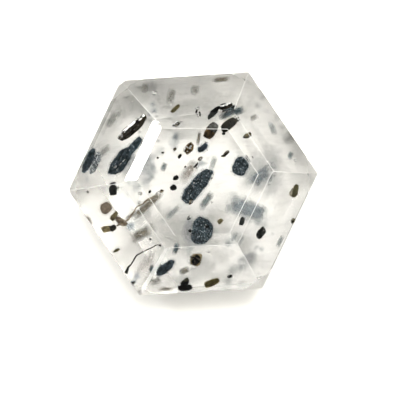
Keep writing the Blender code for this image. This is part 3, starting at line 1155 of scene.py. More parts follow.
@dataclass(frozen=True)
class QuartzFinish:
    """Polished quartz: clear, with faint polishing lines, duller corners and underside, and
    patches and smoky wisps low in it, which are drawn on its underside. The patches are partly
    smoky haze and partly painted shade.

    Sizes are in millimetres. The polishing lines and the wisps are drawn out along X by their
    stretch. wisps is how dark the wisps are, and underside the height below which the stone is
    dull by dull_below. Its corners are worn from worn_from off its middle.
    """

    tint: Absorption = Absorption((0.95, 0.93, 0.80), 12.0)
    clear: Colour = (0.988, 0.986, 0.986)
    # The dark colours of the patches, grey and slate, which paint shade as well as smoky haze.
    smoke_and_shade: Colour = (0.056, 0.058, 0.055)
    slate: Colour = (0.04, 0.075, 0.11)
    line_depth: float = 0.0006
    line_size: float = 0.12
    line_stretch: float = 6.0
    wisps: float = 0.14
    wisp_size: float = 0.22
    wisp_stretch: float = 4.0
    scuff_size: float = 0.5
    scuff_dull: float = 0.03
    dull_below: float = 0.2
    underside: float = 2.15
    worn_from: float = 5.5
    worn_dull: float = 0.35

    # Where noise turns into a wisp and into a scuff.
    WISP_SPAN: ClassVar[tuple[float, float]] = (0.47, 0.66)
    SCUFF_SPAN: ClassVar[tuple[float, float]] = (0.72, 0.9)
    # Over how many millimetres the underside and the worn corners begin, and how unevenly.
    UNDERSIDE_EDGE: ClassVar[float] = 0.1
    WORN_EDGE: ClassVar[float] = 0.12
    WORN_UNEVEN: ClassVar[float] = 0.3
    # How far noise shifts the outline of a patch, in millimetres, and how fine that noise is.
    DRIFT: ClassVar[Vector] = Vector((1.4, 1.4, 0.0))
    DRIFT_SCALE: ClassVar[float] = 1.3
    PATCH_EDGE: ClassVar[tuple[float, float]] = (0.2, 1.25)
    # Sizes so large that a pattern doesn't change with height.
    ANY_HEIGHT: ClassVar[float] = 100.0
    FLATTEN: ClassVar[float] = 1e6

    def dress(self, quartz: "Quartz") -> Material:
        """Makes the material.

        Args:
            quartz: The stone, which says where a line of sight comes out of it.

        Returns:
            The material.
        """
        material, shader = new_material("quartz_clear")
        at = shader.place(Vector((0.0, 0.0, 0.0)), Matrix.Identity(3))
        lines = shader.cloud(
            shader.drawn_out(at, (self.line_stretch, 1.0, 1.0)), self.line_size, 2.0
        )
        scuffs = shader.cloud(at, self.scuff_size, 4.0, 0.6)
        height = shader.signal(shader.node("ShaderNodeSeparateXYZ", inputs={"Vector": at}), "Z")
        low = 1 - shader.ease(height, self.underside - self.UNDERSIDE_EDGE, self.underside)
        # Patches of painted shade and smoky haze, with the wisps, only low in the stone.
        smoke_and_shade = self.smoke_and_shade_in(shader, at, quartz, GREY_PATCHES) * low
        slate = self.smoke_and_shade_in(shader, at, quartz, SLATE_PATCHES) * low
        wisps = shader.cloud(
            shader.drawn_out(at, (self.wisp_stretch, 1.0, 1.0)), self.wisp_size, 5.0, 0.65
        )
        smoke_and_shade = 1 - (1 - smoke_and_shade) * (1 - shader.ease(wisps, *self.WISP_SPAN) * low * self.wisps)
        clear = shader.blend(smoke_and_shade, self.clear, self.smoke_and_shade)
        level = shader.drawn_out(at, (1.0, 1.0, self.FLATTEN))
        away = shader.node("ShaderNodeVectorMath", {"operation": "LENGTH"}, {"Vector": level})
        reach = shader.signal(away, "Value") + (scuffs - 0.5) * self.WORN_UNEVEN
        worn = shader.ease(reach, self.worn_from, self.worn_from + self.WORN_EDGE)
        scuffed = shader.ease(scuffs, *self.SCUFF_SPAN)
        shader.surface(
            {
                "Base Color": shader.blend(slate, clear, self.slate),
                "Transmission Weight": 1.0,
                "IOR": QUARTZ_INDEX,
                "Roughness": (
                    scuffed * self.scuff_dull + worn * self.worn_dull + low * self.dull_below
                ),
                "Normal": shader.bump(lines, self.line_depth),
            },
            self.tint,
        )
        return material

    def smoke_and_shade_in(
        self, shader: Shader, at: NodeSocket, quartz: "Quartz", patches: tuple[Patch, ...]
    ) -> Signal:
        """How dark the patches of painted shade and smoky haze are, from 0 to 1.

        Args:
            shader: The quartz's shader.
            at: Object coordinates in millimetres.
            quartz: The stone.
            patches: Which patches.

        Returns:
            The sum of the patches.
        """
        drift = shader.node("ShaderNodeTexNoise", inputs={"Vector": at, "Scale": self.DRIFT_SCALE})
        bent = shader.node("ShaderNodeVectorMath", {"operation": "MULTIPLY_ADD"})
        shader.tree.links.new(drift.outputs["Color"], bent.inputs[0])
        bent.inputs[1].default_value = self.DRIFT
        shader.tree.links.new(at, bent.inputs[2])
        grain = shader.cloud(at, 0.45, 5.0, 0.6) * 0.8 + shader.cloud(at, 0.11, 3.0) * 0.6 + 0.3
        total = None
        for patch in patches:
            spot = quartz.seen_below(patch.east, patch.north) + self.DRIFT / 2
            local = shader.node(
                "ShaderNodeMapping",
                {"vector_type": "TEXTURE"},
                {
                    "Vector": bent.outputs[0],
                    "Location": spot,
                    "Rotation": (0.0, 0.0, math.radians(patch.heading) + GRID_TURN),
                    "Scale": (patch.length / 2, patch.width / 2, self.ANY_HEIGHT),
                },
            )
            reach = shader.node(
                "ShaderNodeVectorMath", {"operation": "LENGTH"}, {"Vector": local.outputs[0]}
            )
            taken = (1 - shader.ease(shader.signal(reach, "Value"), *self.PATCH_EDGE)) * patch.dark
            total = taken if total is None else 1 - (1 - total) * (1 - taken)
        return total * grain


@dataclass(frozen=True)
class ArrisFinish:
    """The fine worn edges between facets, which are matt and a little white."""

    worn: Colour = (0.93, 0.93, 0.92)
    dull: Colour = (0.7, 0.7, 0.7)
    clear: float = 0.7
    relief: float = 0.004

    def dress(self) -> Material:
        """Makes the material.

        Returns:
            The material.
        """
        material, shader = new_material("quartz_arris")
        at = shader.place(Vector((0.0, 0.0, 0.0)), Matrix.Identity(3))
        rubbed = shader.cloud(at, 0.3, 4.0, 0.7)
        shader.surface(
            {
                "Base Color": shader.blend(shader.ease(rubbed, 0.3, 0.6), self.dull, self.worn),
                "Transmission Weight": self.clear,
                "IOR": QUARTZ_INDEX,
                "Roughness": rubbed * 0.5 + 0.1,
                "Normal": shader.bump(shader.cloud(at, 0.05, 3.0), self.relief),
            }
        )
        return material


# Pieces


@dataclass
class Crystals:
    """Every diopside crystal, each made again round its own CAD node.

    finest is the shortest edge that its faces are split to, in millimetres, and edge the longest
    one as a share of the crystal's half width. A haze is haze_spread times as wide as its solid,
    because it fades out towards its outline.
    """

    finest: float = 0.045
    edge: float = 0.14
    haze_spread: float = 1.25
    slots: dict[str, str] = field(
        default_factory=lambda: {
            part["node"]: part["material_slot"]
            for part in frame["record"]["subparts"]
            if part["node"].startswith("diopside")
        }
    )

    # Faces that are flat to this angle become one face before the edges are rounded.
    FLAT: ClassVar[float] = math.radians(2)

    def build(self) -> None:
        """Makes and dresses each crystal in turn."""
        for name, slot in self.slots.items():
            short = name.removeprefix("diopside_")
            look = NAMED_LOOKS.get(short, SLOT_LOOKS[slot]).value
            self.crystal(name, look)

    def crystal(self, name: str, look: Look) -> Object:
        """Makes one crystal.

        Args:
            name: Its CAD node.
            look: How it is dressed.

        Returns:
            The piece that replaces the node.
        """
        body = node_body(name)
        lie = Lie.of(body)
        bmesh.ops.dissolve_limit(body, angle_limit=self.FLAT, verts=body.verts, edges=body.edges)
        bmesh.ops.bevel(
            body, geom=body.edges[:], offset=look.bevel * lie.half.y, segments=2,
            profile=0.5, affect="EDGES", clamp_overlap=True, material=-1,
        )
        refine(body, max(self.finest, lie.half.y * self.edge))
        soften(body, look.round_off)
        seed = random.Random(name).uniform(0, 50)
        roughen(body, look.relief, lie.half.y * 0.9, seed)
        roughen(body, look.relief * 0.4, 0.1, seed)
        if isinstance(look.mineral, Haze):
            local = Matrix.Translation(lie.middle) @ lie.turn.to_4x4()
            spread = Vector((self.haze_spread, self.haze_spread, 1.0))
            bmesh.ops.scale(body, vec=spread, space=local.inverted(), verts=body.verts)
        whole = bmesh.new()
        materials = []
        if look.mineral:
            add_body(whole, body.copy(), len(materials))
            materials.append(look.mineral.dress(f"{name}_core", lie))
        for number, skin in enumerate(look.skins):
            layer = body.copy()
            soften(layer, 2)
            if skin.grow > 0:
                grow(layer, skin.grow)
            else:
                swell(layer, lie, skin.grow)
            add_body(whole, layer, len(materials))
            materials.append(skin.dress(f"{name}_skin_{number}", lie))
        body.free()
        piece = new_piece(f"{name}_dressed", whole, materials, smooth=True)
        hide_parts(name)
        return piece


@dataclass(frozen=True)
class Bubble:
    """A pocket of gas by where it is seen from above: place, depth, length, width, heading."""

    east: float
    north: float
    depth: float
    length: float
    width: float
    heading: float = 0.0


BUBBLES = (
    Bubble(-1.82, 4.33, 0.25, 0.27, 0.24),
    Bubble(0.22, 3.55, 0.22, 0.20, 0.18),
    Bubble(0.27, 3.24, 0.22, 0.22, 0.13, 70),
    Bubble(-0.73, 2.83, 0.22, 0.36, 0.17, 35),
    Bubble(3.65, 0.94, 0.20, 0.24, 0.13, -40),
    Bubble(4.90, 1.12, 0.25, 0.18, 0.15),
    Bubble(-3.56, -0.21, 0.20, 0.14, 0.13),
    Bubble(-2.48, -0.48, 0.22, 0.20, 0.18, 20),
    Bubble(-2.53, -0.92, 0.22, 0.15, 0.13),
    Bubble(-1.63, -0.45, 0.20, 0.20, 0.14, 30),
    Bubble(2.10, 3.05, 0.20, 0.12, 0.10),
    Bubble(0.77, -3.26, 0.22, 0.12, 0.11),
    Bubble(3.63, -0.07, 0.25, 0.12, 0.10),
    Bubble(-2.9, 3.9, 0.30, 0.10, 0.09),
    Bubble(0.9, -0.9, 0.25, 0.09, 0.08),
)


@dataclass
class Quartz:
    """The one clear piece that stands for both halves of the stone.

    arris and wide_arris say how far the worn edges are cut back, in millimetres.
    """

    arris: float = 0.013
    wide_arris: float = 0.08
    top: float = field(init=False)
    tree: BVHTree = field(init=False)

    # How far the facets lean from flat, in degrees: the steps, and all of the crown's.
    STEP_TILT: ClassVar[tuple[float, float]] = (15, 25)
    CROWN_TILT: ClassVar[float] = 60
    TABLE_TILT: ClassVar[float] = 5
    # Facets whose normals point further north or south than this are the northern or southern.
    FACING: ClassVar[float] = 0.3
    # The upward part of a main facet's normal, and the headings of the two beside the worn ridge.
    MAIN_RISE: ClassVar[tuple[float, float]] = (0.7, 0.9)
    RIDGE_HEADINGS: ClassVar[tuple[tuple[float, float], ...]] = ((200, 220), (260, 280))
    # Facets that are flat to this angle are one facet.
    FLAT: ClassVar[float] = math.radians(0.6)
    # How often a line of sight may be thrown back inside.
    MOST_BOUNCES: ClassVar[int] = 6

    def __post_init__(self) -> None:
        """Works out the whole stone from its halves."""
        body = self.hull()
        self.top = max(vert.co.z for vert in body.verts)
        self.tree = BVHTree.FromBMesh(body)
        body.free()

    def hull(self) -> BMesh:
        """The whole stone with sharp edges.

        Returns:
            The body, with one face for each facet.
        """
        body = node_body("quartz_crown", "quartz_pavilion")
        for face in body.faces[:]:
            body.faces.remove(face)
        wrap(body)
        loose = [edge for edge in body.edges if not edge.link_faces]
        bmesh.ops.delete(body, geom=loose, context="EDGES")
        bmesh.ops.dissolve_limit(body, angle_limit=self.FLAT, verts=body.verts, edges=body.edges)
        bmesh.ops.recalc_face_normals(body, faces=body.faces)
        return body

    def is_worn_ridge(self, edge: BMEdge) -> bool:
        """Whether an edge is the rubbed ridge between the two lower left main facets.

        Args:
            edge: An edge of the stone.

        Returns:
            True if it is.
        """
        headings = sorted(
            math.degrees(math.atan2(face.normal.y, face.normal.x)) % 360
            for face in edge.link_faces
            if self.MAIN_RISE[0] < face.normal.z < self.MAIN_RISE[1]
        )
        return len(headings) == len(self.RIDGE_HEADINGS) and all(
            low < heading < high for heading, (low, high) in zip(headings, self.RIDGE_HEADINGS)
        )

    def is_step(self, tilt: float) -> bool:
        """Whether a facet that leans this far from flat is a step."""
        return self.STEP_TILT[0] < tilt < self.STEP_TILT[1]

    def is_worn(self, edge: BMEdge) -> bool:
        """Whether an edge is rubbed a little: those of the crown are, but for the corners between
        steps, the edge over the step in the north, and the edge of the table in the south.

        Args:
            edge: An edge of the stone.

        Returns:
            True if it is.
        """
        facets = sorted(
            (math.degrees(math.acos(min(face.normal.z, 1.0))), face.normal.y)
            for face in edge.link_faces
        )
        if len(facets) < 2 or facets[1][0] > self.CROWN_TILT:
            return False
        (flatter, _), (steeper, steeper_way) = facets
        if self.is_step(flatter):
            northern = all(way > self.FACING for _, way in facets)
            return not self.is_step(steeper) and not northern
        return flatter > self.TABLE_TILT or steeper_way > -self.FACING

    def sight(self, east: float, north: float) -> tuple[Vector, Vector]:
        """Where a line of sight that comes straight down on the stone goes on in it.

        Args:
            east: Where the line comes down on the grid, in millimetres.
            north: The same, the other way.

        Returns:
            The point where it comes in, and its direction from there.
        """
        over = Matrix.Rotation(GRID_TURN, 3, "Z") @ Vector((east, north, self.top + 1))
        start, normal, _, _ = self.tree.ray_cast(over, Vector((0, 0, -1)))
        ratio = 1 / QUARTZ_INDEX
        bent = math.sqrt(1 - ratio**2 * (1 - normal.z**2))
        return start, Vector((0, 0, -ratio)) + normal * (ratio * normal.z - bent)

    def seen(self, east: float, north: float, depth: float) -> Vector:
        """The point at this depth under the surface on a line of sight."""
        start, ray = self.sight(east, north)
        return start + ray * (depth / -ray.z)

    def seen_below(self, east: float, north: float) -> Vector:
        """Where a line of sight comes out of the stone.

        Args:
            east: Where the line comes down on the grid, in millimetres.
            north: The same, the other way.

        Returns:
            The point, after the facets have thrown the line back as often as they do.
        """
        spot, ray = self.sight(east, north)
        for _ in range(self.MOST_BOUNCES):
            spot, normal, _, _ = self.tree.ray_cast(spot + ray * 0.02, ray)
            if QUARTZ_INDEX * math.sqrt(1 - normal.dot(ray) ** 2) < 1:
                break
            ray = ray.reflect(normal)
        return spot

    def build(self) -> Object:
        """Makes and dresses the stone, with its bubbles.

        Returns:
            The piece that replaces both halves.
        """
        body = self.hull()
        for worn, offset in ((self.is_worn_ridge, self.wide_arris), (self.is_worn, self.arris)):
            bmesh.ops.bevel(
                body, geom=[edge for edge in body.edges if worn(edge)], offset=offset,
                segments=1, profile=0.5, affect="EDGES", clamp_overlap=True, material=1,
            )
        for number, bubble in enumerate(BUBBLES):
            spot = self.seen(bubble.east, bubble.north, bubble.depth)
            size = Vector((bubble.length, bubble.width, bubble.width * 0.8))
            heading = bubble.heading + math.degrees(GRID_TURN)
            pocket = lump(spot, size, heading, 0.25, number * 5.7)
            bmesh.ops.reverse_faces(pocket, faces=pocket.faces)
            add_body(body, pocket, 0)
        finishes = [QuartzFinish().dress(self), ArrisFinish().dress()]
        piece = new_piece("quartz_clear", body, finishes)
        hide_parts("quartz_crown", "quartz_pavilion")
        return piece


class Grain(Enum):
    """The kinds of small piece that lie between the crystals, each with its look and its slot."""

    BLACK = (Looks.BLACK_CRISP, "diopside_black")
    OLIVE = (Looks.OLIVE_CRISP, "diopside_olive")
    BROWN = (Looks.BROWN_CRISP, "diopside_brown")
    SLATE = (Looks.SLATE_FAINT, "diopside_slate")
    FAINT = (Looks.PALE, "diopside_pale")
    # White flecks of painted highlight at bubbles and on crystals.
    GLINT = (Looks.GLINT, "diopside_pale")


@dataclass(frozen=True)
class Fleck:
    """A small grain, or a white fleck of painted highlight, by where it is seen from above: its
    place and depth, length and width, and the heading of its length."""

    kind: Grain
    east: float
    north: float
    depth: float
    length: float
    width: float
    heading: float = 0.0


FLECKS = (
    Fleck(Grain.BLACK, -0.80, 0.26, 0.40, 0.27, 0.20, 40),
    Fleck(Grain.BLACK, -0.61, 1.29, 0.45, 0.25, 0.13, 55),
    Fleck(Grain.BLACK, 1.46, 2.36, 0.40, 0.14, 0.11),
    Fleck(Grain.BLACK, -1.42, 1.45, 0.35, 0.10, 0.08),
    Fleck(Grain.BLACK, -1.66, 1.21, 0.35, 0.09, 0.07),
    Fleck(Grain.BLACK, -0.13, -2.26, 0.40, 0.15, 0.13),
    Fleck(Grain.BLACK, -0.18, -1.64, 0.30, 0.20, 0.12, 40),
    Fleck(Grain.BLACK, 1.77, -4.45, 0.45, 0.22, 0.17, 10),
    Fleck(Grain.BLACK, 0.66, -2.04, 0.34, 0.19, 0.17),
    Fleck(Grain.BLACK, -2.04, -0.40, 0.40, 0.15, 0.09, 60),
    Fleck(Grain.BLACK, -0.35, 0.79, 0.40, 0.08, 0.07),
    Fleck(Grain.BLACK, -2.01, -2.64, 0.35, 0.10, 0.08),
    Fleck(Grain.BLACK, -5.04, -0.40, 0.60, 0.12, 0.10),
    Fleck(Grain.OLIVE, 2.58, 2.26, 0.45, 0.36, 0.20, 28),
    Fleck(Grain.OLIVE, -3.66, -3.20, 0.40, 0.42, 0.11, 30),
    Fleck(Grain.OLIVE, 4.82, -1.79, 0.60, 0.26, 0.20, 60),
    Fleck(Grain.BROWN, -0.09, -0.88, 0.40, 0.26, 0.13, 60),
    Fleck(Grain.BROWN, -0.84, 1.62, 0.42, 0.14, 0.09, 50),
    Fleck(Grain.BROWN, 1.58, 1.42, 0.50, 0.34, 0.11, 40),
    Fleck(Grain.BROWN, 1.46, 1.30, 0.50, 0.18, 0.08, 5),
    Fleck(Grain.BROWN, 0.35, 1.16, 0.42, 0.22, 0.12, 40),
    Fleck(Grain.BROWN, -1.48, -0.38, 0.35, 0.20, 0.11, 20),
    Fleck(Grain.SLATE, -5.09, 0.21, 0.80, 0.22, 0.16, 70),
    Fleck(Grain.SLATE, -0.80, 2.21, 1.10, 0.36, 0.28, 70),
    Fleck(Grain.SLATE, -1.90, 3.79, 0.80, 0.28, 0.20, 80),
    Fleck(Grain.SLATE, -1.85, 3.45, 0.75, 0.30, 0.26, 30),
    Fleck(Grain.SLATE, 1.98, -2.55, 0.50, 0.46, 0.22, 55),
    Fleck(Grain.SLATE, 1.70, -2.80, 0.55, 0.34, 0.22, 50),
    Fleck(Grain.SLATE, 2.32, -2.66, 0.50, 0.42, 0.19, 62),
    Fleck(Grain.SLATE, 3.03, -3.05, 0.60, 0.24, 0.17, 50),
    Fleck(Grain.SLATE, 3.28, -3.14, 0.65, 0.28, 0.20, -20),
    Fleck(Grain.SLATE, 3.82, -2.40, 0.70, 0.13, 0.12),
    Fleck(Grain.SLATE, -2.97, -2.03, 0.80, 0.52, 0.34, 30),
    Fleck(Grain.FAINT, -0.87, 1.75, 1.30, 0.52, 0.24, 80),
    Fleck(Grain.FAINT, -1.94, 4.64, 1.00, 0.42, 0.30, 85),
    Fleck(Grain.FAINT, -0.28, -2.12, 0.90, 0.30, 0.26, 80),
    Fleck(Grain.FAINT, -0.28, -2.55, 0.90, 0.32, 0.24, 80),
    Fleck(Grain.FAINT, 2.32, -3.95, 0.80, 0.62, 0.46, 40),
    Fleck(Grain.FAINT, 2.73, -3.55, 0.90, 0.74, 0.60, 40),
    Fleck(Grain.FAINT, 1.91, -4.10, 0.90, 0.62, 0.40, 60),
    Fleck(Grain.FAINT, 1.68, -4.70, 0.80, 0.46, 0.38, 70),
    Fleck(Grain.FAINT, 2.34, -4.83, 0.80, 0.34, 0.26, 30),
    Fleck(Grain.FAINT, 4.01, 3.21, 0.90, 0.30, 0.20, 40),
    Fleck(Grain.FAINT, 3.10, 3.74, 1.00, 0.36, 0.26, 40),
    Fleck(Grain.FAINT, 3.40, 4.20, 0.70, 0.44, 0.20, 30),
    Fleck(Grain.GLINT, -3.70, 0.79, 0.50, 0.16, 0.13, 40),
    Fleck(Grain.GLINT, -3.60, 0.66, 0.50, 0.10, 0.05, 60),
    Fleck(Grain.GLINT, -3.28, 1.09, 0.48, 0.20, 0.05, 45),
    Fleck(Grain.GLINT, -3.44, 0.92, 0.50, 0.14, 0.04, 50),
    Fleck(Grain.GLINT, 0.06, 0.02, 0.44, 0.10, 0.09),
    Fleck(Grain.GLINT, 0.02, -0.12, 0.46, 0.06, 0.05),
    Fleck(Grain.GLINT, 0.24, 0.20, 0.44, 0.06, 0.05),
    Fleck(Grain.GLINT, 0.30, 0.42, 0.46, 0.05, 0.05),
    Fleck(Grain.GLINT, -0.20, -0.46, 0.50, 0.06, 0.05),
    Fleck(Grain.GLINT, -0.04, -0.86, 0.34, 0.16, 0.06, 50),
    Fleck(Grain.GLINT, -0.11, 1.74, 0.24, 0.18, 0.08, 30),
    Fleck(Grain.GLINT, -0.22, -1.64, 0.24, 0.10, 0.10),
    Fleck(Grain.GLINT, 0.38, 1.14, 0.34, 0.12, 0.10, 40),
    Fleck(Grain.GLINT, 0.62, -1.96, 0.38, 0.07, 0.05),
    Fleck(Grain.GLINT, 0.56, -2.06, 0.38, 0.05, 0.05),
    Fleck(Grain.GLINT, 2.86, 1.20, 0.22, 0.30, 0.08, -55),
    # A white painted highlight on the bubble here, and under it a slate fleck as the painted shade
    # of its dark lower rim.
    Fleck(Grain.GLINT, -1.82, 4.4, 0.22, 0.29, 0.17, 0),
    Fleck(Grain.SLATE, -1.81, 4.21, 0.24, 0.24, 0.09, 0),
    # Painted highlights on two bubbles, each with a thin black fleck as the painted shade of its
    # rim.
    Fleck(Grain.GLINT, 0.22, 3.6, 0.2, 0.24, 0.14, 20),
    Fleck(Grain.BLACK, 0.18, 3.4, 0.24, 0.24, 0.07, 80),
    Fleck(Grain.GLINT, 0.26, 3.26, 0.22, 0.17, 0.12, 60),
    Fleck(Grain.BLACK, 0.34, 3.29, 0.24, 0.24, 0.07, 100),
    Fleck(Grain.GLINT, -0.53, 2.93, 0.22, 0.21, 0.1, 40),
    Fleck(Grain.BROWN, -0.74, 2.81, 0.26, 0.31, 0.15, 35),
    Fleck(Grain.BLACK, -0.91, 2.74, 0.26, 0.08, 0.07, 0),
    Fleck(Grain.SLATE, -3.82, 0.05, 0.3, 0.43, 0.11, 4),
    Fleck(Grain.GLINT, -3.55, -0.26, 0.3, 0.24, 0.12, 80),
    Fleck(Grain.GLINT, 1.6, 3.72, 0.5, 0.11, 0.1, 0),
    Fleck(Grain.GLINT, 1.32, 3.43, 0.34, 0.24, 0.06, 46),
    Fleck(Grain.BLACK, 1.53, 3.66, 0.5, 0.19, 0.06, 30),
    Fleck(Grain.BLACK, 1.43, 3.77, 0.5, 0.29, 0.05, 18),
    Fleck(Grain.BLACK, 1.79, 3.74, 0.5, 0.16, 0.06, 60),
    Fleck(Grain.BLACK, 2.1, 3.09, 0.3, 0.1, 0.07, 0),
    Fleck(Grain.GLINT, 2.01, 2.98, 0.28, 0.14, 0.08, 0),
    Fleck(Grain.BLACK, 2.15, 2.98, 0.3, 0.08, 0.06, 0),
    Fleck(Grain.GLINT, -0.4, 1.6, 0.26, 0.24, 0.07, 60),
    Fleck(Grain.GLINT, -0.28, 1.72, 0.24, 0.19, 0.06, -30),
    Fleck(Grain.GLINT, -0.13, 1.66, 0.24, 0.1, 0.09, 0),
    Fleck(Grain.BLACK, 0.15, 0.85, 0.3, 0.29, 0.1, 45),
    Fleck(Grain.GLINT, 0.2, 0.73, 0.28, 0.21, 0.09, 45),
    Fleck(Grain.SLATE, 0.42, 0.92, 0.9, 0.29, 0.24, 40),
    Fleck(Grain.GLINT, -0.15, -3.69, 0.28, 0.38, 0.06, 100),
    Fleck(Grain.SLATE, -0.23, -3.74, 0.3, 0.33, 0.06, 100),
    Fleck(Grain.GLINT, 0.01, -4.06, 0.24, 0.33, 0.06, 5),
    Fleck(Grain.SLATE, -0.02, -4.15, 0.3, 0.24, 0.05, 0),
    Fleck(Grain.BROWN, -0.02, -3.53, 0.2, 0.22, 0.05, -40),
    Fleck(Grain.BROWN, 0.1, -3.74, 0.2, 0.33, 0.05, 85),
    Fleck(Grain.BROWN, 0.25, -3.57, 0.2, 0.24, 0.05, -25),
    Fleck(Grain.BLACK, 2.63, 1.16, 0.22, 0.38, 0.05, -55),
    Fleck(Grain.GLINT, 2.7, 1.1, 0.2, 0.38, 0.06, -55),
    Fleck(Grain.GLINT, 3.65, 0.94, 0.2, 0.33, 0.1, -45),
    Fleck(Grain.GLINT, 4.93, 1.11, 0.24, 0.14, 0.1, 0),
    Fleck(Grain.GLINT, -2.48, -0.48, 0.2, 0.21, 0.14, 20),
    Fleck(Grain.GLINT, -2.53, -0.93, 0.2, 0.14, 0.11, 0),
    Fleck(Grain.GLINT, -1.62, -0.44, 0.2, 0.23, 0.1, 30),
    Fleck(Grain.GLINT, 0.74, -3.25, 0.2, 0.1, 0.09, 0),
    Fleck(Grain.GLINT, -0.14, -1.59, 0.22, 0.14, 0.09, 30),
    Fleck(Grain.SLATE, -2.86, -4.73, 0.4, 0.43, 0.24, 30),
    Fleck(Grain.OLIVE, -2.89, -4.77, 0.44, 0.24, 0.1, 30),
    Fleck(Grain.SLATE, -2.68, -4.43, 0.5, 0.38, 0.29, 30),
    Fleck(Grain.BLACK, -2.56, -5.19, 0.3, 0.24, 0.1, 60),
)


@dataclass
class Flecks:
    """The small grains between the crystals, and the white flecks of painted highlight among them,
    as one piece for each kind.

    least is the least size of a grain's layer and thickness its thickness, both as shares of its
    width, and rough how uneven a rounded grain is.
    """

    quartz: Quartz
    flecks: tuple[Fleck, ...] = FLECKS
    least: float = 0.3
    thickness: float = 0.8
    rough: float = 0.35

    # Every pattern is laid out from one point amid the grains, in millimetres.
    LIE: ClassVar[Lie] = Lie(Vector((0, 0, 3)), Matrix.Identity(3), Vector((0.1, 0.1, 0.1)))
    ROUND_FROM: ClassVar[int] = 3

    def build(self) -> None:
        """Makes one piece of each kind of grain."""
        for kind in Grain:
            look, slot = kind.value
            self.kind(kind, look.value, slot)

    def kind(self, kind: Grain, look: Look, slot: str) -> Object:
        """Makes every grain of one kind.

        Args:
            kind: Which.
            look: How it is dressed.
            slot: Its material slot in the record.

        Returns:
            The piece.
        """
        whole = bmesh.new()
        grains = [fleck for fleck in self.flecks if fleck.kind is kind]
        layers = ([look.mineral] if look.mineral else []) + list(look.skins)
        sharp = look.mineral and look.round_off < self.ROUND_FROM
        for number, fleck in enumerate(grains):
            spot = self.quartz.seen(fleck.east, fleck.north, fleck.depth)
            heading = fleck.heading + math.degrees(GRID_TURN)
            sides = (fleck.length, fleck.width, fleck.width * self.thickness)
            for slot_number, layer in enumerate(layers):
                spread = 2 * layer.grow if isinstance(layer, Skin) else 0.0
                size = Vector(max(side + spread, self.least * fleck.width) for side in sides)
                if sharp:
                    made = shard(spot, size, heading, number)
                else:
                    made = lump(spot, size, heading, self.rough, number * 7.3)
                add_body(whole, made, slot_number)
        name = f"flecks_{kind.name.lower()}"
        materials = [
            layer.dress(f"{name}_{number}", self.LIE) for number, layer in enumerate(layers)
        ]
        return new_piece(name, whole, materials, smooth=True)


@dataclass(frozen=True)
class Cloud:
    """A cloud that floats in the quartz, partly smoky haze and partly painted shade, by where it
    is
    seen from above: its middle and depth, length and width, the heading of its length, and how
    dark it is."""

    east: float
    north: float
    depth: float
    length: float
    width: float
    heading: float
    dark: float


CLOUDS = (
    Cloud(-0.1, -2.0, 1.6, 5.4, 2.6, 0, 0.26),
    Cloud(-0.2, -2.9, 1.3, 2.8, 1.2, 5, 0.25),
    Cloud(-0.4, 3.7, 1.2, 6.4, 1.5, 0, 0.26),
    Cloud(-2.5, 4.0, 1.1, 1.8, 1.2, 10, 0.20),
    Cloud(-3.8, 3.2, 1.3, 1.9, 1.3, 50, 0.15),
    Cloud(-2.4, -1.3, 1.2, 1.9, 1.1, 45, 0.35),
    Cloud(2.7, -1.2, 1.4, 2.4, 1.6, -15, 0.20),
    Cloud(3.5, 0.4, 1.3, 2.1, 1.2, 35, 0.34),
    Cloud(-4.4, 1.5, 1.3, 1.4, 1.0, 45, 0.18),
    Cloud(2.3, -3.9, 1.2, 1.9, 1.5, 40, 0.14),
    Cloud(-1.1, -4.7, 0.9, 2.2, 0.9, 0, 0.50),
    Cloud(5.0, 1.4, 0.9, 1.5, 1.0, 60, 0.24),
    Cloud(4.3, -1.0, 1.1, 1.4, 0.9, 60, 0.20),
)


# A dark soft finish for the clouds, which are partly smoky haze and partly painted shade.
SMOKE_AND_SHADE = Haze(
    (0.05, 0.056, 0.06), (0.12, 0.128, 0.132), 1.0, 0.3, 0.08, 1.0, 1.5, (0.05, 1.05)
)


@dataclass
class Clouds:
    """The clouds deep in the quartz, partly smoky haze and partly painted shade, each a soft lens
    with no outline of its own.

    thickness is theirs in millimetres. The body of each is outer times the size at which it fades
    out, and share turns how dark a cloud looks into how much its middle hides.
    """

    quartz: Quartz
    thickness: float = 0.9
    outer: float = 1.15
    rough: float = 0.5
    share: float = 0.35

    def build(self) -> None:
        """Makes each cloud."""
        for number, cloud in enumerate(CLOUDS):
            # Each piece is named a cloud, but carries painted shade as well as smoky haze.
            name = f"cloud_{number}"
            spot = self.quartz.seen(cloud.east, cloud.north, cloud.depth)
            size = Vector((cloud.length, cloud.width, self.thickness))
            heading = cloud.heading + math.degrees(GRID_TURN)
            lie = Lie(spot, Matrix.Rotation(math.radians(heading), 3, "Z"), size / 2)
            finish = replace(SMOKE_AND_SHADE, most=cloud.dark * self.share)
            body = lump(spot, size * self.outer, heading, self.rough, number * 3.1 + self.outer)
            material = finish.dress(name, lie)
            new_piece(name, body, [material], smooth=True)


@dataclass(frozen=True)
class Strand:
    """A thin strand by where it is seen from above.

    marks gives the east, north, depth and half thickness at each of its marks, and wobble how
    uneven its line is, in millimetres.
    """

    name: str
    marks: tuple[tuple[float, float, float, float], ...]
    mineral: Mineral
    slot: str
    wobble: float


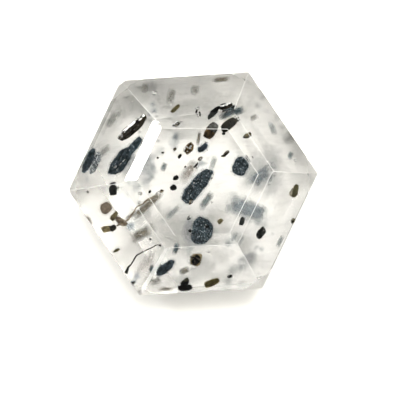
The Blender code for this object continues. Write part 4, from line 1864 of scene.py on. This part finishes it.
STRANDS = (
    Strand(
        "strand_brown",
        (
            (-3.62, -1.98, 0.75, 0.04), (-3.03, -1.69, 0.70, 0.05), (-2.66, -1.12, 0.62, 0.035),
            (-2.18, -0.83, 0.55, 0.045), (-1.61, -0.50, 0.45, 0.03),
        ),
        BROWN, "diopside_brown", 0.05,
    ),
    Strand(
        "fracture_edge",
        (
            (-3.20, -4.30, 0.25, 0.09), (-3.13, -4.00, 0.33, 0.07), (-2.99, -3.88, 0.40, 0.035),
            (-2.63, -3.40, 0.42, 0.04), (-2.16, -3.14, 0.42, 0.032), (-1.68, -2.93, 0.40, 0.028),
            (-1.44, -2.96, 0.38, 0.045),
        ),
        BLACK, "diopside_black", 0.06,
    ),
)
VEIL = Haze((0.22, 0.20, 0.19), (0.62, 0.59, 0.56), 0.50, 0.9, 0.05, 1.6, 6.0, (0.2, 1.1))


@dataclass
class Strands:
    """The brown strand in the left of the stone, and the healed fracture in its lower left corner,
    with its dark edge and its veil."""

    quartz: Quartz
    steps: int = 5
    veil_size: Vector = field(default_factory=lambda: Vector((1.9, 0.95, 0.05)))
    veil_heading: float = 52

    # Where the patterns on the strands start from, and how they are turned.
    LIE: ClassVar[Lie] = Lie(
        Vector((-2.5, -1.5, 3.2)), Matrix.Rotation(0.6, 3, "Z"), Vector((1, 1, 1))
    )

    def line(self, strand: Strand) -> tuple[list[Vector], list[float]]:
        """Points along a strand.

        Args:
            strand: The strand.

        Returns:
            The points and the radii.
        """
        points, radii = [], []
        for first, second in zip(strand.marks, strand.marks[1:]):
            for step in range(self.steps):
                share = step / self.steps
                east, north, depth, radius = (
                    a + (b - a) * share for a, b in zip(first, second)
                )
                shift = noise.noise_vector(Vector((east, north, depth)) * 4) * strand.wobble
                points.append(self.quartz.seen(east + shift.x, north + shift.y, depth))
                radii.append(radius * (1 + 0.7 * noise.noise(Vector((east, north, 1)) * 7)))
        return points, radii

    def veil(self) -> None:
        """Makes the streaky sheet of the healed fracture, beside its dark edge."""
        spot = self.quartz.seen(-2.17, -3.90, 0.45)
        heading = self.veil_heading + math.degrees(GRID_TURN)
        lie = Lie(spot, Matrix.Rotation(math.radians(heading), 3, "Z"), self.veil_size / 2)
        body = lump(spot, self.veil_size, heading, 0.2, 3.0)
        material = VEIL.dress("fracture_veil", lie)
        new_piece("fracture_veil", body, [material], smooth=True)

    def build(self) -> None:
        """Makes them all."""
        self.veil()
        for strand in STRANDS:
            body = thread(*self.line(strand))
            material = strand.mineral.dress(strand.name, self.LIE)
            new_piece(strand.name, body, [material], smooth=True)


@dataclass
class Studio:
    """The pale floor, the soft light and the camera above the stone. Sizes are in millimetres, and
    a light's place in the sky is its heading and its angle from straight up, in degrees."""

    floor_size: float = 600.0
    floor_drop: float = 0.02
    floor_tones: tuple[Colour, Colour] = ((0.88, 0.88, 0.87), (0.90, 0.90, 0.89))
    floor_patches: float = 40.0
    camera_middle: tuple[float, float] = (0.724, -1.167)
    camera_lens: float = 200.0
    camera_sensor: float = 36.0
    # How wide the picture is at the height at which it is sharpest.
    frame_width: float = 19.8095
    frame_height: float = 3.5
    warmth: Colour = (1.0, 0.975, 0.91)
    strength: float = 1.99
    # The wide light above: where it is, how narrow, and how bright beside the light all round.
    lobe_at: tuple[float, float] = (68, 32)
    lobe_narrow: float = 13.0
    lobe_light: float = 12.4
    round_light: float = 0.10
    # Dark flags by heading, angle from straight up and how much light each holds back.
    flags: tuple[tuple[float, float, float], ...] = (
        (0, 0, 0.96), (86, 40, 0.97), (34, 40, 0.93), (52, 62, 0.9),
    )
    flag_edge: tuple[float, float] = (14, 9)
    # White cards, likewise, and how much light each adds.
    cards: tuple[tuple[float, float, float], ...] = ((9, 62, 0.45), (212, 55, 4.0))
    card_edge: tuple[float, float] = (14, 8)
    # The small light: its size, its power in watts and where it stands.
    softbox_size: float = 6.0
    softbox_power: float = 0.012
    softbox_at: tuple[float, float, float] = (-42, 24, 58)
    softbox_aim: tuple[float, float, float] = (0, 0, 3)
    # Light crosses many clear and faded layers on its way to a deep crystal and back.
    clear_bounces: int = 24
    faded_layers: int = 40
    mirror_bounces: int = 12

    def build(self) -> None:
        """Sets everything up."""
        self.floor()
        self.world()
        self.softbox()
        self.camera()
        self.light_paths()

    def floor(self) -> None:
        """A plain pale floor just under the stone."""
        body = bmesh.new()
        bmesh.ops.create_grid(
            body, x_segments=8, y_segments=8, size=self.floor_size * MM / 2,
            matrix=Matrix.Translation((0, 0, -self.floor_drop * MM)),
        )
        mesh = bpy.data.meshes.new("floor")
        body.to_mesh(mesh)
        body.free()
        material, shader = new_material("floor_pale")
        at = shader.place(Vector((0, 0, 0)), Matrix.Identity(3))
        shader.surface(
            {
                "Base Color": shader.blend(
                    shader.cloud(at, self.floor_patches), *self.floor_tones
                ),
                "Roughness": 1.0,
                "Specular IOR Level": 0.0,
            }
        )
        mesh.materials.append(material)
        floor = bpy.data.objects.new("floor", mesh)
        bpy.context.scene.collection.objects.link(floor)

    def world(self) -> None:
        """Soft light from all round, brightest from a wide patch above."""
        world = bpy.data.worlds.new("studio")
        bpy.context.scene.world = world
        world.use_nodes = True
        shader = Shader(world.node_tree)
        sky = shader.node("ShaderNodeTexCoord")
        lobe = self.towards(shader, sky.outputs["Generated"], *self.lobe_at)
        up = shader.signal(
            shader.node("ShaderNodeSeparateXYZ", inputs={"Vector": sky.outputs["Generated"]}), "Z"
        )
        round_about = shader.ease(up, 0.1, 0.45) * 0.7 + 0.3
        glow = lobe.larger(0.0) ** self.lobe_narrow * self.lobe_light
        glow = glow + round_about * self.round_light
        for turn, lean, light in self.cards:
            card = self.towards(shader, sky.outputs["Generated"], turn, lean)
            glow = glow + shader.ease(card, *self.cosines(self.card_edge)) * light
        for turn, lean, dim in self.flags:
            flag = self.towards(shader, sky.outputs["Generated"], turn, lean)
            glow = glow * (1 - shader.ease(flag, *self.cosines(self.flag_edge)) * dim)
        background = shader.node(
            "ShaderNodeBackground",
            inputs={"Color": self.warmth, "Strength": glow * self.strength},
        )
        shader.node("ShaderNodeOutputWorld", inputs={"Surface": background.outputs[0]})

    def cosines(self, edge: tuple[float, float]) -> tuple[float, float]:
        """The cosines of the angles at which a card or flag starts and is whole."""
        return math.cos(math.radians(edge[0])), math.cos(math.radians(edge[1]))

    def towards(self, shader: Shader, sky: NodeSocket, turn: float, lean: float) -> Signal:
        """The cosine of the angle between each direction and one of them.

        Args:
            shader: The world's shader.
            sky: The direction's socket.
            turn: The one direction's heading, in degrees.
            lean: Its angle from straight up.

        Returns:
            The cosine.
        """
        heading, away = math.radians(turn), math.radians(lean)
        dot = shader.node("ShaderNodeVectorMath", {"operation": "DOT_PRODUCT"}, {"Vector": sky})
        dot.inputs[1].default_value = (
            math.cos(heading) * math.sin(away), math.sin(heading) * math.sin(away), math.cos(away)
        )
        return shader.signal(dot, "Value")

    def softbox(self) -> None:
        """A small soft light low on the left."""
        light = bpy.data.lights.new("softbox", "AREA")
        light.size = self.softbox_size * MM
        light.energy = self.softbox_power
        lamp = bpy.data.objects.new("softbox", light)
        bpy.context.scene.collection.objects.link(lamp)
        lamp.location = Vector(self.softbox_at) * MM
        lamp.rotation_mode = "QUATERNION"
        aim = Vector(self.softbox_aim) * MM - lamp.location
        lamp.rotation_quaternion = aim.to_track_quat("-Z", "Y")

    def camera(self) -> None:
        """A long lens that looks straight down."""
        lens = bpy.data.cameras.new("camera")
        lens.lens = self.camera_lens
        lens.sensor_width = self.camera_sensor
        lens.clip_start = MM
        camera = bpy.data.objects.new("camera", lens)
        bpy.context.scene.collection.objects.link(camera)
        distance = self.frame_width * self.camera_lens / self.camera_sensor
        turn = Matrix.Rotation(GRID_TURN, 3, "Z")
        lift = Vector((0, 0, self.frame_height + distance))
        camera.location = (turn @ Vector((*self.camera_middle, 0)) + lift) * MM
        camera.rotation_mode = "QUATERNION"
        camera.rotation_quaternion = turn.to_quaternion()
        bpy.context.scene.camera = camera

    def light_paths(self) -> None:
        """Says how far light is followed, and that tones are shown plainly."""
        scene = bpy.context.scene
        scene.view_settings.view_transform = "Standard"
        scene.cycles.max_bounces = self.clear_bounces
        scene.cycles.transmission_bounces = self.clear_bounces
        scene.cycles.transparent_max_bounces = self.faded_layers
        scene.cycles.glossy_bounces = self.mirror_bounces


def main() -> None:
    """Builds every piece in order."""
    logging.basicConfig(level=logging.INFO, format="%(name)s: %(message)s")
    noise.seed_set(NOISE_SEED)
    quartz = Quartz()
    quartz.build()
    Crystals().build()
    Flecks(quartz).build()
    Clouds(quartz).build()
    Strands(quartz).build()
    Studio().build()


if __name__ == "__main__":
    main()
